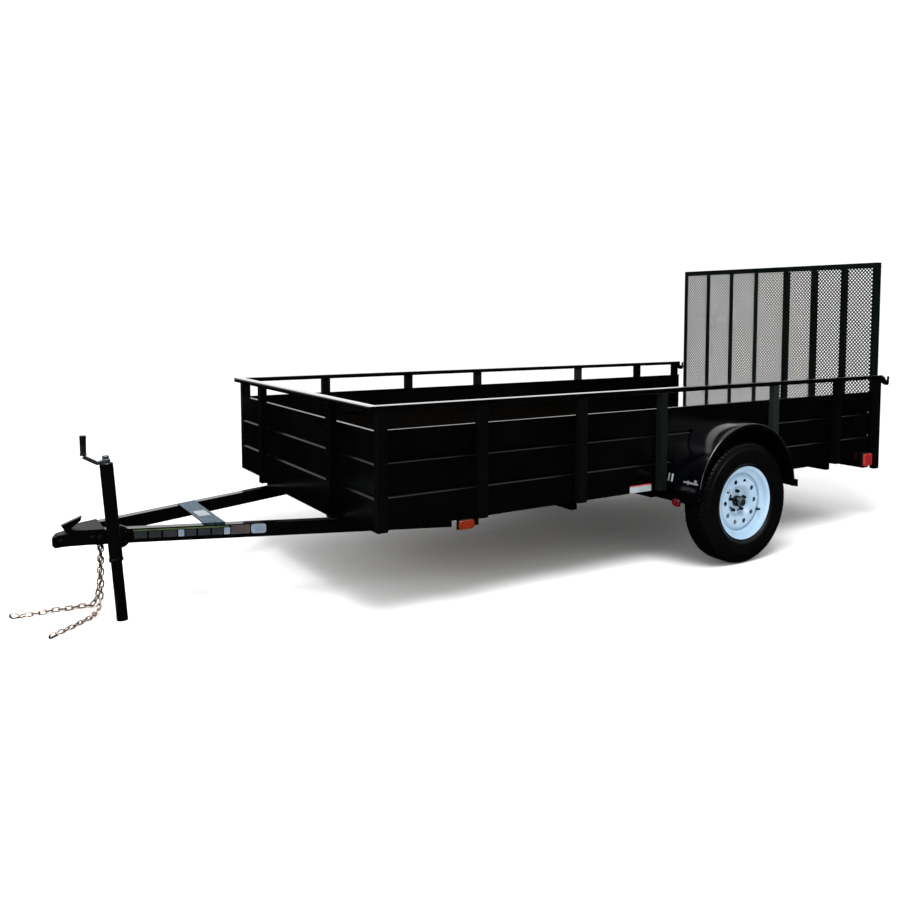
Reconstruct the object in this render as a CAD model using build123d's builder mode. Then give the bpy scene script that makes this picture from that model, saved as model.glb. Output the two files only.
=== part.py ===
from build123d import *
import os
from math import atan2, cos, pi, radians, sin

os.makedirs("parts", exist_ok=True)

# A single-axle utility trailer: steel box bed, open A-frame tongue and a mesh ramp gate.
# Millimetres. +X is the rear, -Y the left (kerb) side, +Z up; z = 0 is the ground.
# x = 0 is half way between the foremost chain hook and the rearmost latch handle.

# ---------------------------------------------------------------- driving dimensions
bed_length = 3720.0          # front wall's outer face to the rear end of the frame
bed_width = 1900.0           # between the side walls' outer faces
frame_base = 431.0           # underside of the frame rails above the ground
front_reach = 1330.0         # foremost point, a chain hook, ahead of the front wall
rear_reach = 78.0            # rearmost point, a latch handle, behind the frame

rail_tube = 50.0             # square tube of the frame rails and the front sill
tube_wall = 3.0
sill_length = 60.0           # rear sill, along X
sill_drop = 80.0             # rear sill below the frame rails
member_width = 38.0          # cross-members, along X
member_depth = 50.0
member_inset = 40.0          # cross-member end inside the side wall's outer face
sheet = 2.0                  # wall sheet

wall_height = 450.0
bead_heights = (143.0, 298.0)  # lower edges of the pressed grooves above the wall's foot
bead_width = 22.0
bead_depth = 12.0
hem_width = 18.0             # folded top edge of a wall

rail_height = 563.0          # top of the upper rail above the frame's underside
rail_flat = 50.0             # upper rail's tube, laid flat
rail_thick = 25.0
rail_overhang = 37.0         # upper rail's outer edge beyond the walls' outer faces
post_width = 50.0
corner_post_at = 25.0        # post centres behind the front wall's outer face
side_post_at = (545.0, 1145.0, 1705.0, 2635.0, 3255.0)
rear_post_inset = 38.0        # rear post's centre ahead of the frame's rear end
rear_post_drop = 72.0         # rear posts reach below the frame's underside
front_post_y = 510.0
front_post_drop = 15.0       # front posts reach below the frame's underside

board_count = 9
board_thick = 38.0
board_gap = 5.0

# tongue
tongue_top_drop = 30.0       # top of the tongue beams below the frame's underside
tongue_depth = 66.0
tongue_width = 50.0
tongue_half_at_wall = 503.0  # outer face of a beam from the centre line, at the front wall
tongue_slope = 0.407         # sideways run of a beam for each millimetre forward
tongue_end = 1020.0          # beam ends ahead of the front wall
tongue_wall = 4.0
plate_at = 505.0             # tongue cross plate ahead of the front wall
plate_length = 90.0
plate_thick = 6.0
spacer_half = 515.0          # spacer between the sill and the beams, from the centre line

# coupler
coupler_nose = 1155.0        # nose ahead of the front wall
coupler_rear = 952.0         # cheeks' rear end ahead of the front wall
coupler_sheet = 5.0
ball_radius = 25.4
socket_outer = 33.0
socket_drop = 80.0           # ball centre below the frame's underside

# jack
jack_at = 898.5              # swivel plate's centre on the left beam, ahead of the front wall
jack_standoff = 84.0         # tube's centre line from the beam's outer face
jack_lean = 3.9              # degrees, top towards the coupler
jack_outer_r = 28.0
jack_tube_wall = 4.0
jack_clear = 0.4             # between the two tubes, on the radius
jack_above = 348.0           # outer tube above and below the swivel, along the tube
jack_below = 92.0
jack_hidden = 180.0          # inner tube's length inside the outer tube
jack_cap = 22.0
jack_bolt_r = 11.0           # head above the cap
jack_bolt = 14.0
swivel_plate_r = 54.0
swivel_boss_r = 22.0
swivel_plate = 10.0
swivel_gap = 0.5
swivel_pin_r = 10.0
swivel_clear = 0.1
crank_r = 7.0
crank_reach = 90.0
crank_dip = 14.0
grip_r = 14.0
grip_length = 90.0

# chains
chain_at = 955.0             # anchor ahead of the front wall
anchor_length = 60.0
anchor_thick = 8.0
anchor_drop = 24.0           # pin below the anchor plate
anchor_pin_r = 4.0
anchor_ear = 5.0
chain_apart = 38.0
link_pitch = 28.0
link_wire = 6.4
link_width = 23.0
link_clear = 0.4
twist_links = 8
hook_wire = 9.0

# gate
gate_inset = 36.0            # gate's side inside the side wall's outer face
gate_foot = 50.0             # gate's lower edge above the frame's underside
gate_top = 1325.0
gate_gap = 17.0              # gate's front face behind the frame
angle_leg = 38.0
angle_thick = 3.0
upright_pitch = 251.7
upright_count = 3            # on each half of the gate
hinge_drop = 20.0            # hinge axis below the gate's lower edge
hinge_pin_r = 8.0
hinge_sleeve_r = 13.0
hinge_clear = 0.1
hinge_length = 100.0
hinge_y = (-600.0, 0.0, 600.0)
ear_thick = 8.0
ear_gap = 1.0

# running gear
axle_at = 2151.0             # axle's centre behind the front wall
tyre_radius = 344.0
tyre_width = 178.0
tyre_gap = 71.0              # tyre's inner side outside the side wall
rim_flange_r = 207.5
rim_width = 145.0
axle_r = 30.0
spindle_run = 110.0          # axle tube's end inside the tyre's middle plane
spindle_r = 17.0
hub_clear = 0.1

fender_r = 392.0
fender_lift = 60.0           # centre of the fender's arch above the axle
fender_sheet = 2.5
fender_width = 262.0
fender_lip = 24.0
fender_feet = (30.0, 20.0)   # level foot at the arch's front and rear end

# ---------------------------------------------------------------- places worked out
bed_front = -(bed_length + rear_reach - front_reach) / 2
bed_rear = bed_front + bed_length
half_width = bed_width / 2
wheel_offset = half_width + tyre_gap + tyre_width / 2  # tyre's middle plane from the centre line
axle_end = wheel_offset - spindle_run
gate_width = bed_width - 2 * gate_inset
frame_top = frame_base + rail_tube
wall_top = frame_base + wall_height
upper_top = frame_base + rail_height
upper_base = upper_top - rail_thick
deck_top = frame_base + board_thick
rail_inner = half_width - sheet - rail_tube
axle_x = bed_front + axle_at
axle_z = tyre_radius

SIDES = (("left", -1), ("right", 1))


# ---------------------------------------------------------------- frame
rail_y = half_width - sheet - rail_tube / 2
with BuildPart() as frame_rails:
    for side in (-1, 1):
        with BuildSketch(Plane.YZ.offset(bed_front + sheet)):
            with Locations((side * rail_y, frame_base + rail_tube / 2)):
                Rectangle(rail_tube, rail_tube)
                Rectangle(rail_tube - 2 * tube_wall, rail_tube - 2 * tube_wall, mode=Mode.SUBTRACT)
        extrude(amount=bed_length - sheet)

with BuildPart() as front_sill:
    with BuildSketch(Plane.XZ.offset(-rail_inner)):
        with Locations((bed_front + sheet + rail_tube / 2, frame_base + rail_tube / 2)):
            Rectangle(rail_tube, rail_tube)
            Rectangle(rail_tube - 2 * tube_wall, rail_tube - 2 * tube_wall, mode=Mode.SUBTRACT)
    extrude(amount=2 * rail_inner)
    # spacer between the sill and the tongue beams
    with BuildSketch(Plane.XY.offset(frame_base - tongue_top_drop)):
        with Locations((bed_front + sheet + rail_tube / 2, 0)):
            Rectangle(rail_tube, 2 * spacer_half)
    extrude(amount=tongue_top_drop)

sill_height = rail_tube + sill_drop
with BuildPart() as rear_sill:
    with BuildSketch(Plane.XZ.offset(-rail_inner)):
        with Locations((bed_rear - sill_length / 2, frame_top - sill_height / 2)):
            Rectangle(sill_length, sill_height)
            Rectangle(sill_length - 2 * tube_wall, sill_height - 2 * tube_wall, mode=Mode.SUBTRACT)
    extrude(amount=2 * rail_inner)

member_half = half_width - member_inset
with BuildPart() as cross_members:
    for at in side_post_at:
        with BuildSketch(Plane.XZ.offset(-member_half)):
            with Locations((bed_front + at, frame_base - member_depth / 2)):
                Rectangle(member_width, member_depth)
                Rectangle(member_width - 2 * tube_wall, member_depth - 2 * tube_wall, mode=Mode.SUBTRACT)
        extrude(amount=2 * member_half)

deck_front = bed_front + sheet + rail_tube + board_gap
deck_rear = bed_rear - sill_length - board_gap
board_pitch = 2 * rail_inner / board_count
with BuildPart() as deck_boards:
    with BuildSketch(Plane.XY.offset(frame_base)):
        with Locations(((deck_front + deck_rear) / 2, 0)):
            with GridLocations(0, board_pitch, 1, board_count):
                Rectangle(deck_rear - deck_front, board_pitch - board_gap)
    extrude(amount=board_thick)


# ---------------------------------------------------------------- walls
# A wall's section: a flat sheet with pressed grooves and a hem, standing on z = 0,
# with its outer face on the sketch's vertical axis and the load space towards +X.
def wall_line():
    """Points up a wall's outer face: (depth behind the outer face, height)."""
    points = [(0.0, 0.0)]
    for foot in bead_heights:
        points += [
            (0.0, foot),
            (bead_depth, foot + bead_depth),
            (bead_depth, foot + bead_width),
            (0.0, foot + bead_width),
        ]
    points += [(0.0, wall_height), (hem_width, wall_height)]
    return points


# The walls meet on a mitre at each front corner.
mitre = Plane(origin=(bed_front, -half_width, 0), x_dir=(0, 0, 1), z_dir=(1, -1, 0))

with BuildPart() as left_wall:
    with BuildSketch(Plane.YZ.offset(bed_front)):
        with BuildLine():
            outline = [(-half_width + depth, frame_base + height) for depth, height in wall_line()]
            Polyline(*outline)
            offset(amount=sheet, side=Side.RIGHT, kind=Kind.INTERSECTION)
        make_face()
    extrude(amount=bed_length)
    split(bisect_by=mitre, keep=Keep.TOP)

with BuildPart() as right_wall:
    add(left_wall.part)
    mirror(about=Plane.XZ, mode=Mode.REPLACE)

with BuildPart() as front_wall:
    with BuildSketch(Plane.XZ):
        with BuildLine():
            outline = [(bed_front + depth, frame_base + height) for depth, height in wall_line()]
            Polyline(*outline)
            offset(amount=sheet, side=Side.RIGHT, kind=Kind.INTERSECTION)
        make_face()
    extrude(amount=half_width)
    split(bisect_by=mitre, keep=Keep.BOTTOM)
    mirror(about=Plane.XZ)


# ---------------------------------------------------------------- posts and upper rails
with BuildPart() as side_posts:
    for side in (-1, 1):
        for at in (corner_post_at, *side_post_at, bed_length - rear_post_inset):
            post_base = frame_base if at < bed_length - rear_post_inset else frame_base - rear_post_drop
            with BuildSketch(Plane.XY.offset(post_base)):
                with Locations((bed_front + at, side * (half_width + rail_overhang / 2))):
                    Rectangle(post_width, rail_overhang)
                    Rectangle(post_width - 2 * tube_wall, rail_overhang - 2 * tube_wall, mode=Mode.SUBTRACT)
            extrude(amount=upper_base - post_base)

with BuildPart() as front_posts:
    for side in (-1, 1):
        with BuildSketch(Plane.XY.offset(frame_base - front_post_drop)):
            with Locations((bed_front - rail_overhang / 2, side * front_post_y)):
                Rectangle(rail_overhang, post_width)
                Rectangle(rail_overhang - 2 * tube_wall, post_width - 2 * tube_wall, mode=Mode.SUBTRACT)
        extrude(amount=upper_base - frame_base + front_post_drop)

upper_front = bed_front - rail_overhang
upper_half = half_width + rail_overhang
with BuildPart() as front_top_rail:
    with BuildSketch(Plane.XZ.offset(-upper_half)):
        with Locations((upper_front + rail_flat / 2, upper_base + rail_thick / 2)):
            Rectangle(rail_flat, rail_thick)
            Rectangle(rail_flat - 2 * tube_wall, rail_thick - 2 * tube_wall, mode=Mode.SUBTRACT)
    extrude(amount=2 * upper_half)

with BuildPart() as side_top_rails:
    for side in (-1, 1):
        with BuildSketch(Plane.YZ.offset(upper_front + rail_flat)):
            with Locations((side * (upper_half - rail_flat / 2), upper_base + rail_thick / 2)):
                Rectangle(rail_flat, rail_thick)
                Rectangle(rail_flat - 2 * tube_wall, rail_thick - 2 * tube_wall, mode=Mode.SUBTRACT)
        extrude(amount=bed_rear - upper_front - rail_flat)


# ---------------------------------------------------------------- tongue
tongue_top = frame_base - tongue_top_drop
tongue_base = tongue_top - tongue_depth
beam_angle = atan2(tongue_slope, 1.0)
beam_width_y = tongue_width / cos(beam_angle)      # beam's width, measured along Y
beam_wall_y = tongue_wall / cos(beam_angle)
beam_rear = side_post_at[0] - member_width / 2      # the beams butt on the first cross-member


def beam_face(at):
    """Distance of a tongue beam's outer face from the centre line, at millimetres behind the wall."""
    return tongue_half_at_wall + tongue_slope * at


with BuildPart() as tongue_beams:
    for side in (-1, 1):
        for inset, drop, mode in ((0.0, 0.0, Mode.ADD), (beam_wall_y, tongue_wall, Mode.SUBTRACT)):
            with BuildSketch(Plane.XY.offset(tongue_base + drop)):
                with BuildLine():
                    Polyline(
                        (bed_front - tongue_end, side * (beam_face(-tongue_end) - inset)),
                        (bed_front + beam_rear, side * (beam_face(beam_rear) - inset)),
                        (bed_front + beam_rear, side * (beam_face(beam_rear) - beam_width_y + inset)),
                        (bed_front - tongue_end, side * (beam_face(-tongue_end) - beam_width_y + inset)),
                        close=True,
                    )
                make_face()
            extrude(amount=tongue_depth - 2 * drop, mode=mode)

# cross plate laid on the beams' tops, reaching over half of each
with BuildPart() as tongue_plate:
    with BuildSketch(Plane.XY.offset(tongue_top)):
        with BuildLine():
            ends = (-plate_at - plate_length / 2, -plate_at + plate_length / 2)
            reach = [beam_face(at) - beam_width_y / 2 for at in ends]
            Polyline(
                (bed_front + ends[0], -reach[0]),
                (bed_front + ends[1], -reach[1]),
                (bed_front + ends[1], reach[1]),
                (bed_front + ends[0], reach[0]),
                close=True,
            )
        make_face()
    extrude(amount=plate_thick)


# ---------------------------------------------------------------- coupler
# Two cheeks outside the beams, a top plate over them and a round socket at the nose.
ball_x = bed_front - coupler_nose + socket_outer
ball_z = frame_base - socket_drop
cheek_top = tongue_top + coupler_sheet
rear_half = beam_face(-coupler_rear) + coupler_sheet
front_half = beam_face(-tongue_end) + coupler_sheet
# side outlines: (ahead of the front wall, above the frame's underside)
COUPLER_SIDE = (
    (coupler_rear, cheek_top - frame_base), (1076.0, -27.0), (1099.0, -45.0), (1134.0, -49.0),
    (1156.0, -66.0), (1158.0, -97.0), (1146.0, -108.0), (1090.0, -101.0),
    (tongue_end, tongue_base - frame_base), (coupler_rear, tongue_base - frame_base),
)
LATCH_SIDE = ((1118.0, -10.0), (1031.0, 24.0), (1037.0, 3.0), (1076.0, -27.0), (1099.0, -45.0))
coupler_lip = min(up for _, up in COUPLER_SIDE)
latch_width = 26.0


def side_points(outline):
    """A side outline's points on the plane across Y."""
    return [(bed_front - ahead, frame_base + up) for ahead, up in outline]


with BuildPart() as coupler:
    with BuildSketch(Plane.XY.offset(frame_base + coupler_lip)):
        with BuildLine():
            Polyline(
                (ball_x, -socket_outer),
                (bed_front - tongue_end, -front_half),
                (bed_front - coupler_rear, -rear_half),
                (bed_front - coupler_rear, rear_half),
                (bed_front - tongue_end, front_half),
                (ball_x, socket_outer),
                close=True,
            )
        make_face()
        with Locations((ball_x, 0)):
            Circle(socket_outer)
    extrude(amount=cheek_top - frame_base - coupler_lip)
    with BuildSketch(Plane.XZ.offset(-rear_half)):
        with BuildLine():
            Polyline(*side_points(COUPLER_SIDE), close=True)
        make_face()
    extrude(amount=2 * rear_half, mode=Mode.INTERSECT)
    # room for the beams and for the space between them
    with BuildSketch(Plane.XY.offset(tongue_base - 1)):
        with BuildLine():
            Polyline(
                (bed_front - tongue_end, -beam_face(-tongue_end)),
                (bed_front - coupler_rear + 1, -beam_face(-coupler_rear + 1)),
                (bed_front - coupler_rear + 1, beam_face(-coupler_rear + 1)),
                (bed_front - tongue_end, beam_face(-tongue_end)),
                close=True,
            )
        make_face()
    extrude(amount=tongue_depth + 1, mode=Mode.SUBTRACT)
    with Locations((ball_x, 0, ball_z)):
        Sphere(ball_radius + 0.3, mode=Mode.SUBTRACT)
    with Locations((ball_x, 0, ball_z - ball_radius)):
        Cylinder(ball_radius + 0.3, 2 * ball_radius, mode=Mode.SUBTRACT)

# latch: a raised lever that leans to the rear, its foot on the coupler's sloping top
with BuildPart() as coupler_latch:
    with BuildSketch(Plane.XZ.offset(-latch_width / 2)):
        with BuildLine():
            Polyline(*side_points(LATCH_SIDE), close=True)
        make_face()
    extrude(amount=latch_width)


# ---------------------------------------------------------------- jack
# The tube swivels on a round plate on the left beam's outer face.
outward = Vector(-sin(beam_angle), -cos(beam_angle), 0)
plate_centre = Vector(bed_front - jack_at, -beam_face(-jack_at), tongue_base + tongue_depth / 2)
jack_pivot = plate_centre + outward * jack_standoff
lean = radians(jack_lean)
jack_up = Vector(-sin(lean), 0, cos(lean))
jack_inner_r = jack_outer_r - jack_tube_wall - jack_clear
jack_foot = (jack_pivot.Z - jack_inner_r * sin(lean)) / cos(lean)   # along the tube to the ground


def jack_plane(along):
    """A plane square to the jack's tube, at millimetres above the swivel."""
    return Plane(origin=jack_pivot + jack_up * along, x_dir=(cos(lean), 0, sin(lean)), z_dir=jack_up)


swivel = Plane(origin=plate_centre, x_dir=(cos(beam_angle), -sin(beam_angle), 0), z_dir=outward)
boss_face = swivel_plate + swivel_gap
boss_length = jack_standoff - boss_face

with BuildPart() as jack_bracket:
    with BuildSketch(swivel):
        Circle(swivel_plate_r)
    extrude(amount=swivel_plate)
    with BuildSketch(swivel.offset(swivel_plate)):
        Circle(swivel_pin_r)
    extrude(amount=swivel_gap + boss_length / 2)

with BuildPart() as jack_tube:
    with BuildSketch(swivel.offset(boss_face)):
        Circle(swivel_plate_r - 4)
    extrude(amount=swivel_plate)
    with BuildSketch(swivel.offset(boss_face)):
        Circle(swivel_boss_r)
    extrude(amount=boss_length)
    with BuildSketch(swivel.offset(boss_face)):
        Circle(swivel_pin_r + swivel_clear)
    extrude(amount=boss_length / 2 + swivel_gap, mode=Mode.SUBTRACT)
    with BuildSketch(jack_plane(-jack_below)):
        Circle(jack_outer_r)
    extrude(amount=jack_below + jack_above)
    with BuildSketch(jack_plane(-jack_below)):
        Circle(jack_outer_r - jack_tube_wall)
    extrude(amount=jack_below + jack_above, mode=Mode.SUBTRACT)

with BuildPart() as jack_crank:
    with BuildSketch(jack_plane(jack_above)):
        Circle(jack_outer_r)
    extrude(amount=jack_cap)
    with BuildSketch(jack_plane(jack_above + jack_cap)):
        Circle(jack_bolt_r)
    extrude(amount=jack_bolt)
    start = jack_pivot + jack_up * (jack_above + jack_cap - crank_r)
    low = start + Vector(-crank_reach * 0.45, 0, -crank_dip)
    end = start + Vector(-crank_reach, 0, crank_dip / 2)
    top = end + Vector(0, 0, crank_dip)
    with BuildLine():
        arm = FilletPolyline(start, low, end, top, radius=crank_r * 1.6)
    with BuildSketch(Plane(origin=start, z_dir=low - start)):
        Circle(crank_r)
    sweep()

with BuildPart() as jack_grip:
    with BuildSketch(Plane.XY.offset(top.Z)):
        with Locations((top.X, top.Y)):
            Circle(grip_r)
    extrude(amount=grip_length)

with BuildPart() as jack_ram:
    with BuildSketch(jack_plane(-jack_foot)):
        Circle(jack_inner_r)
        Circle(jack_inner_r - jack_tube_wall, mode=Mode.SUBTRACT)
    extrude(amount=jack_foot + jack_hidden - jack_below)


# ---------------------------------------------------------------- safety chains
anchor_half = beam_face(-chain_at) - beam_width_y / 2
anchor_base = tongue_base - anchor_thick
pin_z = anchor_base - anchor_drop
with BuildPart() as chain_anchor:
    with BuildSketch(Plane.XY.offset(anchor_base)):
        with Locations((bed_front - chain_at, 0)):
            Rectangle(anchor_length, 2 * anchor_half)
    extrude(amount=anchor_thick)
    for ear in (-1, 0, 1):
        with BuildSketch(Plane.XZ.offset(-ear * chain_apart - anchor_ear / 2)):
            with Locations((bed_front - chain_at, pin_z + anchor_drop / 2)):
                Rectangle(2.4 * anchor_pin_r, anchor_drop)
            with Locations((bed_front - chain_at, pin_z)):
                Circle(1.2 * anchor_pin_r)
        extrude(amount=anchor_ear)
    with BuildSketch(Plane.XZ.offset(-chain_apart)):
        with Locations((bed_front - chain_at, pin_z)):
            Circle(anchor_pin_r)
    extrude(amount=2 * chain_apart)

with BuildPart() as link:
    with BuildSketch(Plane.XY.offset(-link_wire / 2)):
        Rectangle(link_pitch + 2 * link_wire - link_clear, link_width)
        chamfer(vertices(), length=link_width * 0.3)
        Rectangle(link_pitch - link_clear, link_width - 2 * link_wire, mode=Mode.SUBTRACT)
    extrude(amount=link_wire)

# A route runs from the anchor's pin down to the ground and along it:
# (ahead of the front wall, sideways from the centre line, above the ground)
lay = link_width / 2 + link_clear
first_link = pin_z + anchor_pin_r + link_clear
routes = (
    ("left", 0.0, (
        (chain_at, -19.0, first_link), (956.0, -19.5, 230.0), (958.0, -21.0, 120.0), (966.0, -28.0, 45.0),
        (988.0, -67.0, lay), (1023.0, -132.0, lay), (1064.0, -170.0, lay), (1102.0, -210.0, lay),
        (1132.0, -234.0, lay), (1168.0, -266.0, lay))),
    ("right", 45.0, (
        (chain_at, 19.0, first_link), (957.0, 20.0, 220.0), (961.0, 24.0, 130.0), (971.0, 36.0, 48.0),
        (990.0, 42.0, lay), (1037.0, 65.0, lay), (1095.0, 57.0, lay), (1149.0, 75.0, lay),
        (1193.0, 63.0, lay), (1230.0, 66.0, lay), (1275.0, 70.0, lay))),
)


def link_joints(route):
    """Points one link pitch apart along a route of straight runs."""
    points = [Vector(bed_front - ahead, sideways, height) for ahead, sideways, height in route]
    runs = [(end - start).length for start, end in zip(points, points[1:])]
    joints = []
    for count in range(int(sum(runs) / link_pitch) + 1):
        along = count * link_pitch
        run = 0
        while run < len(runs) - 1 and along > runs[run]:
            along -= runs[run]
            run += 1
        joints.append(points[run] + (points[run + 1] - points[run]) * (along / runs[run]))
    return joints


def link_planes(joints, twist):
    """One plane for each link, a quarter turn from its neighbours, twisting by degrees on the way down."""
    side = Vector(0, 1, 0)
    planes = []
    for count, (start, end) in enumerate(zip(joints, joints[1:])):
        along = (end - start).normalized()
        side = (side - along * side.dot(along)).normalized()
        lift = along.cross(side)
        turn = radians(90 * (count % 2) + twist * min(1.0, count / twist_links))
        planes.append(Plane(origin=(start + end) / 2, x_dir=along, z_dir=side * cos(turn) + lift * sin(turn)))
    return planes


chains = {}
hook_places = []
for name, twist, route in routes:
    joints = link_joints(route)
    with BuildPart() as chain:
        with Locations(*[plane.location for plane in link_planes(joints, twist)]):
            add(link.part)
    chains[name] = chain
    hook_places.append((joints[-1], joints[-1] - joints[-2]))

hook_tail = 47.5
hook_bend = hook_wire * 1.6
with BuildPart() as chain_hooks:
    for eye, along in hook_places:
        flat = Plane(origin=(eye.X, eye.Y, 1), x_dir=(along.X, along.Y, 0), z_dir=(0, 0, 1))
        with BuildSketch(flat):
            with BuildLine():
                shank = Line((link_wire + hook_wire / 2 + link_clear, 0), (hook_tail, 0))
                JernArc(start=shank @ 1, tangent=shank % 1, radius=hook_bend, arc_size=-200)
                offset(amount=hook_wire / 2)
            make_face()
        extrude(amount=hook_wire)


# ---------------------------------------------------------------- ramp gate
gate_front = bed_rear + gate_gap
gate_base = frame_base + gate_foot
gate_head = frame_base + gate_top
gate_half = gate_width / 2
gate_height = gate_head - gate_base
gate_middle = (gate_head + gate_base) / 2
gate_plane = Plane(origin=(gate_front, 0, gate_middle), x_dir=(0, 1, 0), z_dir=(1, 0, 0))

# frame of angle: the flat leg faces the load space, the other leg runs back round the outside
with BuildPart() as gate_frame:
    with BuildSketch(gate_plane):
        Rectangle(gate_width, gate_height)
        Rectangle(gate_width - 2 * angle_leg, gate_height - 2 * angle_leg, mode=Mode.SUBTRACT)
    extrude(amount=angle_thick)
    with BuildSketch(gate_plane):
        Rectangle(gate_width, gate_height)
        Rectangle(gate_width - 2 * angle_thick, gate_height - 2 * angle_thick, mode=Mode.SUBTRACT)
    extrude(amount=angle_leg)

# uprights: the outer edge of each faces the near side of the gate
upright_height = gate_height - 2 * angle_leg
upright_depth = angle_leg - angle_thick
with BuildPart() as gate_uprights:
    for side in (-1, 1):
        for count in range(1, upright_count + 1):
            edge = gate_half - count * upright_pitch
            with BuildSketch(gate_plane):
                with Locations((side * (edge - angle_leg / 2), 0)):
                    Rectangle(angle_leg, upright_height)
            extrude(amount=angle_thick)
            with BuildSketch(gate_plane):
                with Locations((side * (edge - angle_thick / 2), 0)):
                    Rectangle(angle_thick, upright_height)
            extrude(amount=upright_depth)

# expanded steel in front of the frame's flat legs: two layers of slanted strands that cross
strand_pitch = 26.0          # diamond's width and height
strand_width = 7.0
strand_thick = 1.6
strand_gap = 0.3
mesh_lap = 12.0              # mesh over the frame's flat legs
mesh_border = 4.0
mesh_width = gate_width - 2 * (angle_leg - mesh_lap)
mesh_height = gate_height - 2 * (angle_leg - mesh_lap)
strand_count = int((mesh_width + mesh_height) / strand_pitch / 2) + 1
strand_places = [(count * strand_pitch, 0) for count in range(-strand_count, strand_count + 1)]
with BuildPart() as gate_mesh:
    for layer, turn in ((1, 45), (2, -45)):
        with BuildSketch(gate_plane.offset(-(strand_gap + strand_thick) * layer)):
            Rectangle(mesh_width, mesh_height)
            Rectangle(mesh_width - 2 * mesh_border, mesh_height - 2 * mesh_border, mode=Mode.SUBTRACT)
            with Locations(*strand_places):
                Rectangle(2 * mesh_width, strand_width, rotation=turn)
            Rectangle(mesh_width, mesh_height, mode=Mode.INTERSECT)
        extrude(amount=strand_thick)

hinge_x = gate_front + hinge_sleeve_r
hinge_z = gate_base - hinge_drop
with BuildPart() as gate_hinge_sleeves:
    for y in hinge_y:
        with BuildSketch(Plane.XZ.offset(-y - hinge_length / 2)):
            with Locations((hinge_x, hinge_z)):
                Circle(hinge_sleeve_r)
            with Locations((hinge_x, (hinge_z + gate_base) / 2)):
                Rectangle(hinge_sleeve_r, gate_base - hinge_z)
            with Locations((hinge_x, hinge_z)):
                Circle(hinge_pin_r + hinge_clear, mode=Mode.SUBTRACT)
        extrude(amount=hinge_length)

ear_reach = hinge_x - bed_rear
ear_half = hinge_length / 2 + ear_gap + ear_thick
with BuildPart() as gate_hinge_pins:
    for y in hinge_y:
        for low in (-ear_half, ear_half - ear_thick):
            with BuildSketch(Plane.XZ.offset(-y - low - ear_thick)):
                with Locations((hinge_x, hinge_z)):
                    Circle(hinge_sleeve_r)
                with Locations((bed_rear + ear_reach / 2, hinge_z)):
                    Rectangle(ear_reach, 2 * hinge_sleeve_r)
            extrude(amount=ear_thick)
        with BuildSketch(Plane.XZ.offset(-y - ear_half)):
            with Locations((hinge_x, hinge_z)):
                Circle(hinge_pin_r)
        extrude(amount=2 * ear_half)


# latches: a hooked lever on the end of each upper rail, with a pin that points at the gate's side
latch_thick = 10.0
latch_pin_r = 6.0
latch_pin_at = 36.0          # behind the rail's end
latch_pin_up = -18.0         # above the rail's underside
latch_room = 6.0             # between the pin and the gate
latch_y = upper_half - latch_thick / 2
# lever's outline: (behind the rail's end, above the rail's underside)
LEVER = (
    (0.0, 22.0), (22.0, 12.0), (54.0, -20.0), (62.0, -24.0), (68.0, 14.0), (rear_reach, 14.0),
    (76.0, -34.0), (64.0, -46.0), (40.0, -44.0), (0.0, -28.0),
)
with BuildPart() as gate_latches:
    for side in (-1, 1):
        with BuildSketch(Plane.XZ.offset(-side * latch_y - latch_thick / 2)):
            with BuildLine():
                Polyline(*[(bed_rear + back, upper_base + up) for back, up in LEVER], close=True)
            make_face()
        extrude(amount=latch_thick)
        inner = gate_half + latch_room
        with BuildSketch(Plane.XZ.offset(-side * (latch_y + inner) / 2 - (latch_y - inner) / 2)):
            with Locations((bed_rear + latch_pin_at, upper_base + latch_pin_up)):
                Circle(latch_pin_r)
        extrude(amount=latch_y - inner)


# ---------------------------------------------------------------- running gear
def axle_face(y, side):
    """A vertical plane across the axle at a distance from the centre line, facing outwards."""
    return Plane(origin=(axle_x, side * y, axle_z), x_dir=(-side, 0, 0), z_dir=(0, side, 0))


with BuildPart() as axle:
    with BuildSketch(axle_face(-axle_end, 1)):
        Circle(axle_r)
    extrude(amount=2 * axle_end)
    spindle_end = wheel_offset + 15.0
    with BuildSketch(axle_face(-spindle_end, 1)):
        Circle(spindle_r)
    extrude(amount=2 * spindle_end)

spring_width = 45.0
spring_y = rail_y - 8.0
spring_half = 320.0
leaf = 7.0
leaf_count = 3
seat = 6.0
eye_z = frame_base - 21.0
eye_r = 13.0
eye_bore = 7.0
spring_base = axle_z + axle_r + seat
main_leaf = spring_base + (leaf_count - 0.5) * leaf
leaf_end = eye_z - eye_r + leaf / 2
with BuildPart() as springs:
    for side in (-1, 1):
        with BuildSketch(Plane.XZ.offset(-side * spring_y - spring_width / 2)):
            for count in range(leaf_count):
                half = spring_half * (1 - count / leaf_count * 0.8)
                drop = count * (leaf - 0.2)
                rise = (leaf_end - main_leaf) * (half / spring_half) ** 2
                with BuildLine():
                    curve = ThreePointArc(
                        (axle_x - half, main_leaf - drop + rise),
                        (axle_x, main_leaf - drop),
                        (axle_x + half, main_leaf - drop + rise),
                    )
                    offset(amount=leaf / 2)
                make_face()
            with Locations((axle_x - spring_half, eye_z), (axle_x + spring_half, eye_z)):
                Circle(eye_r)
            with Locations((axle_x - spring_half, eye_z), (axle_x + spring_half, eye_z)):
                Circle(eye_bore, mode=Mode.SUBTRACT)
        extrude(amount=spring_width)

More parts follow.
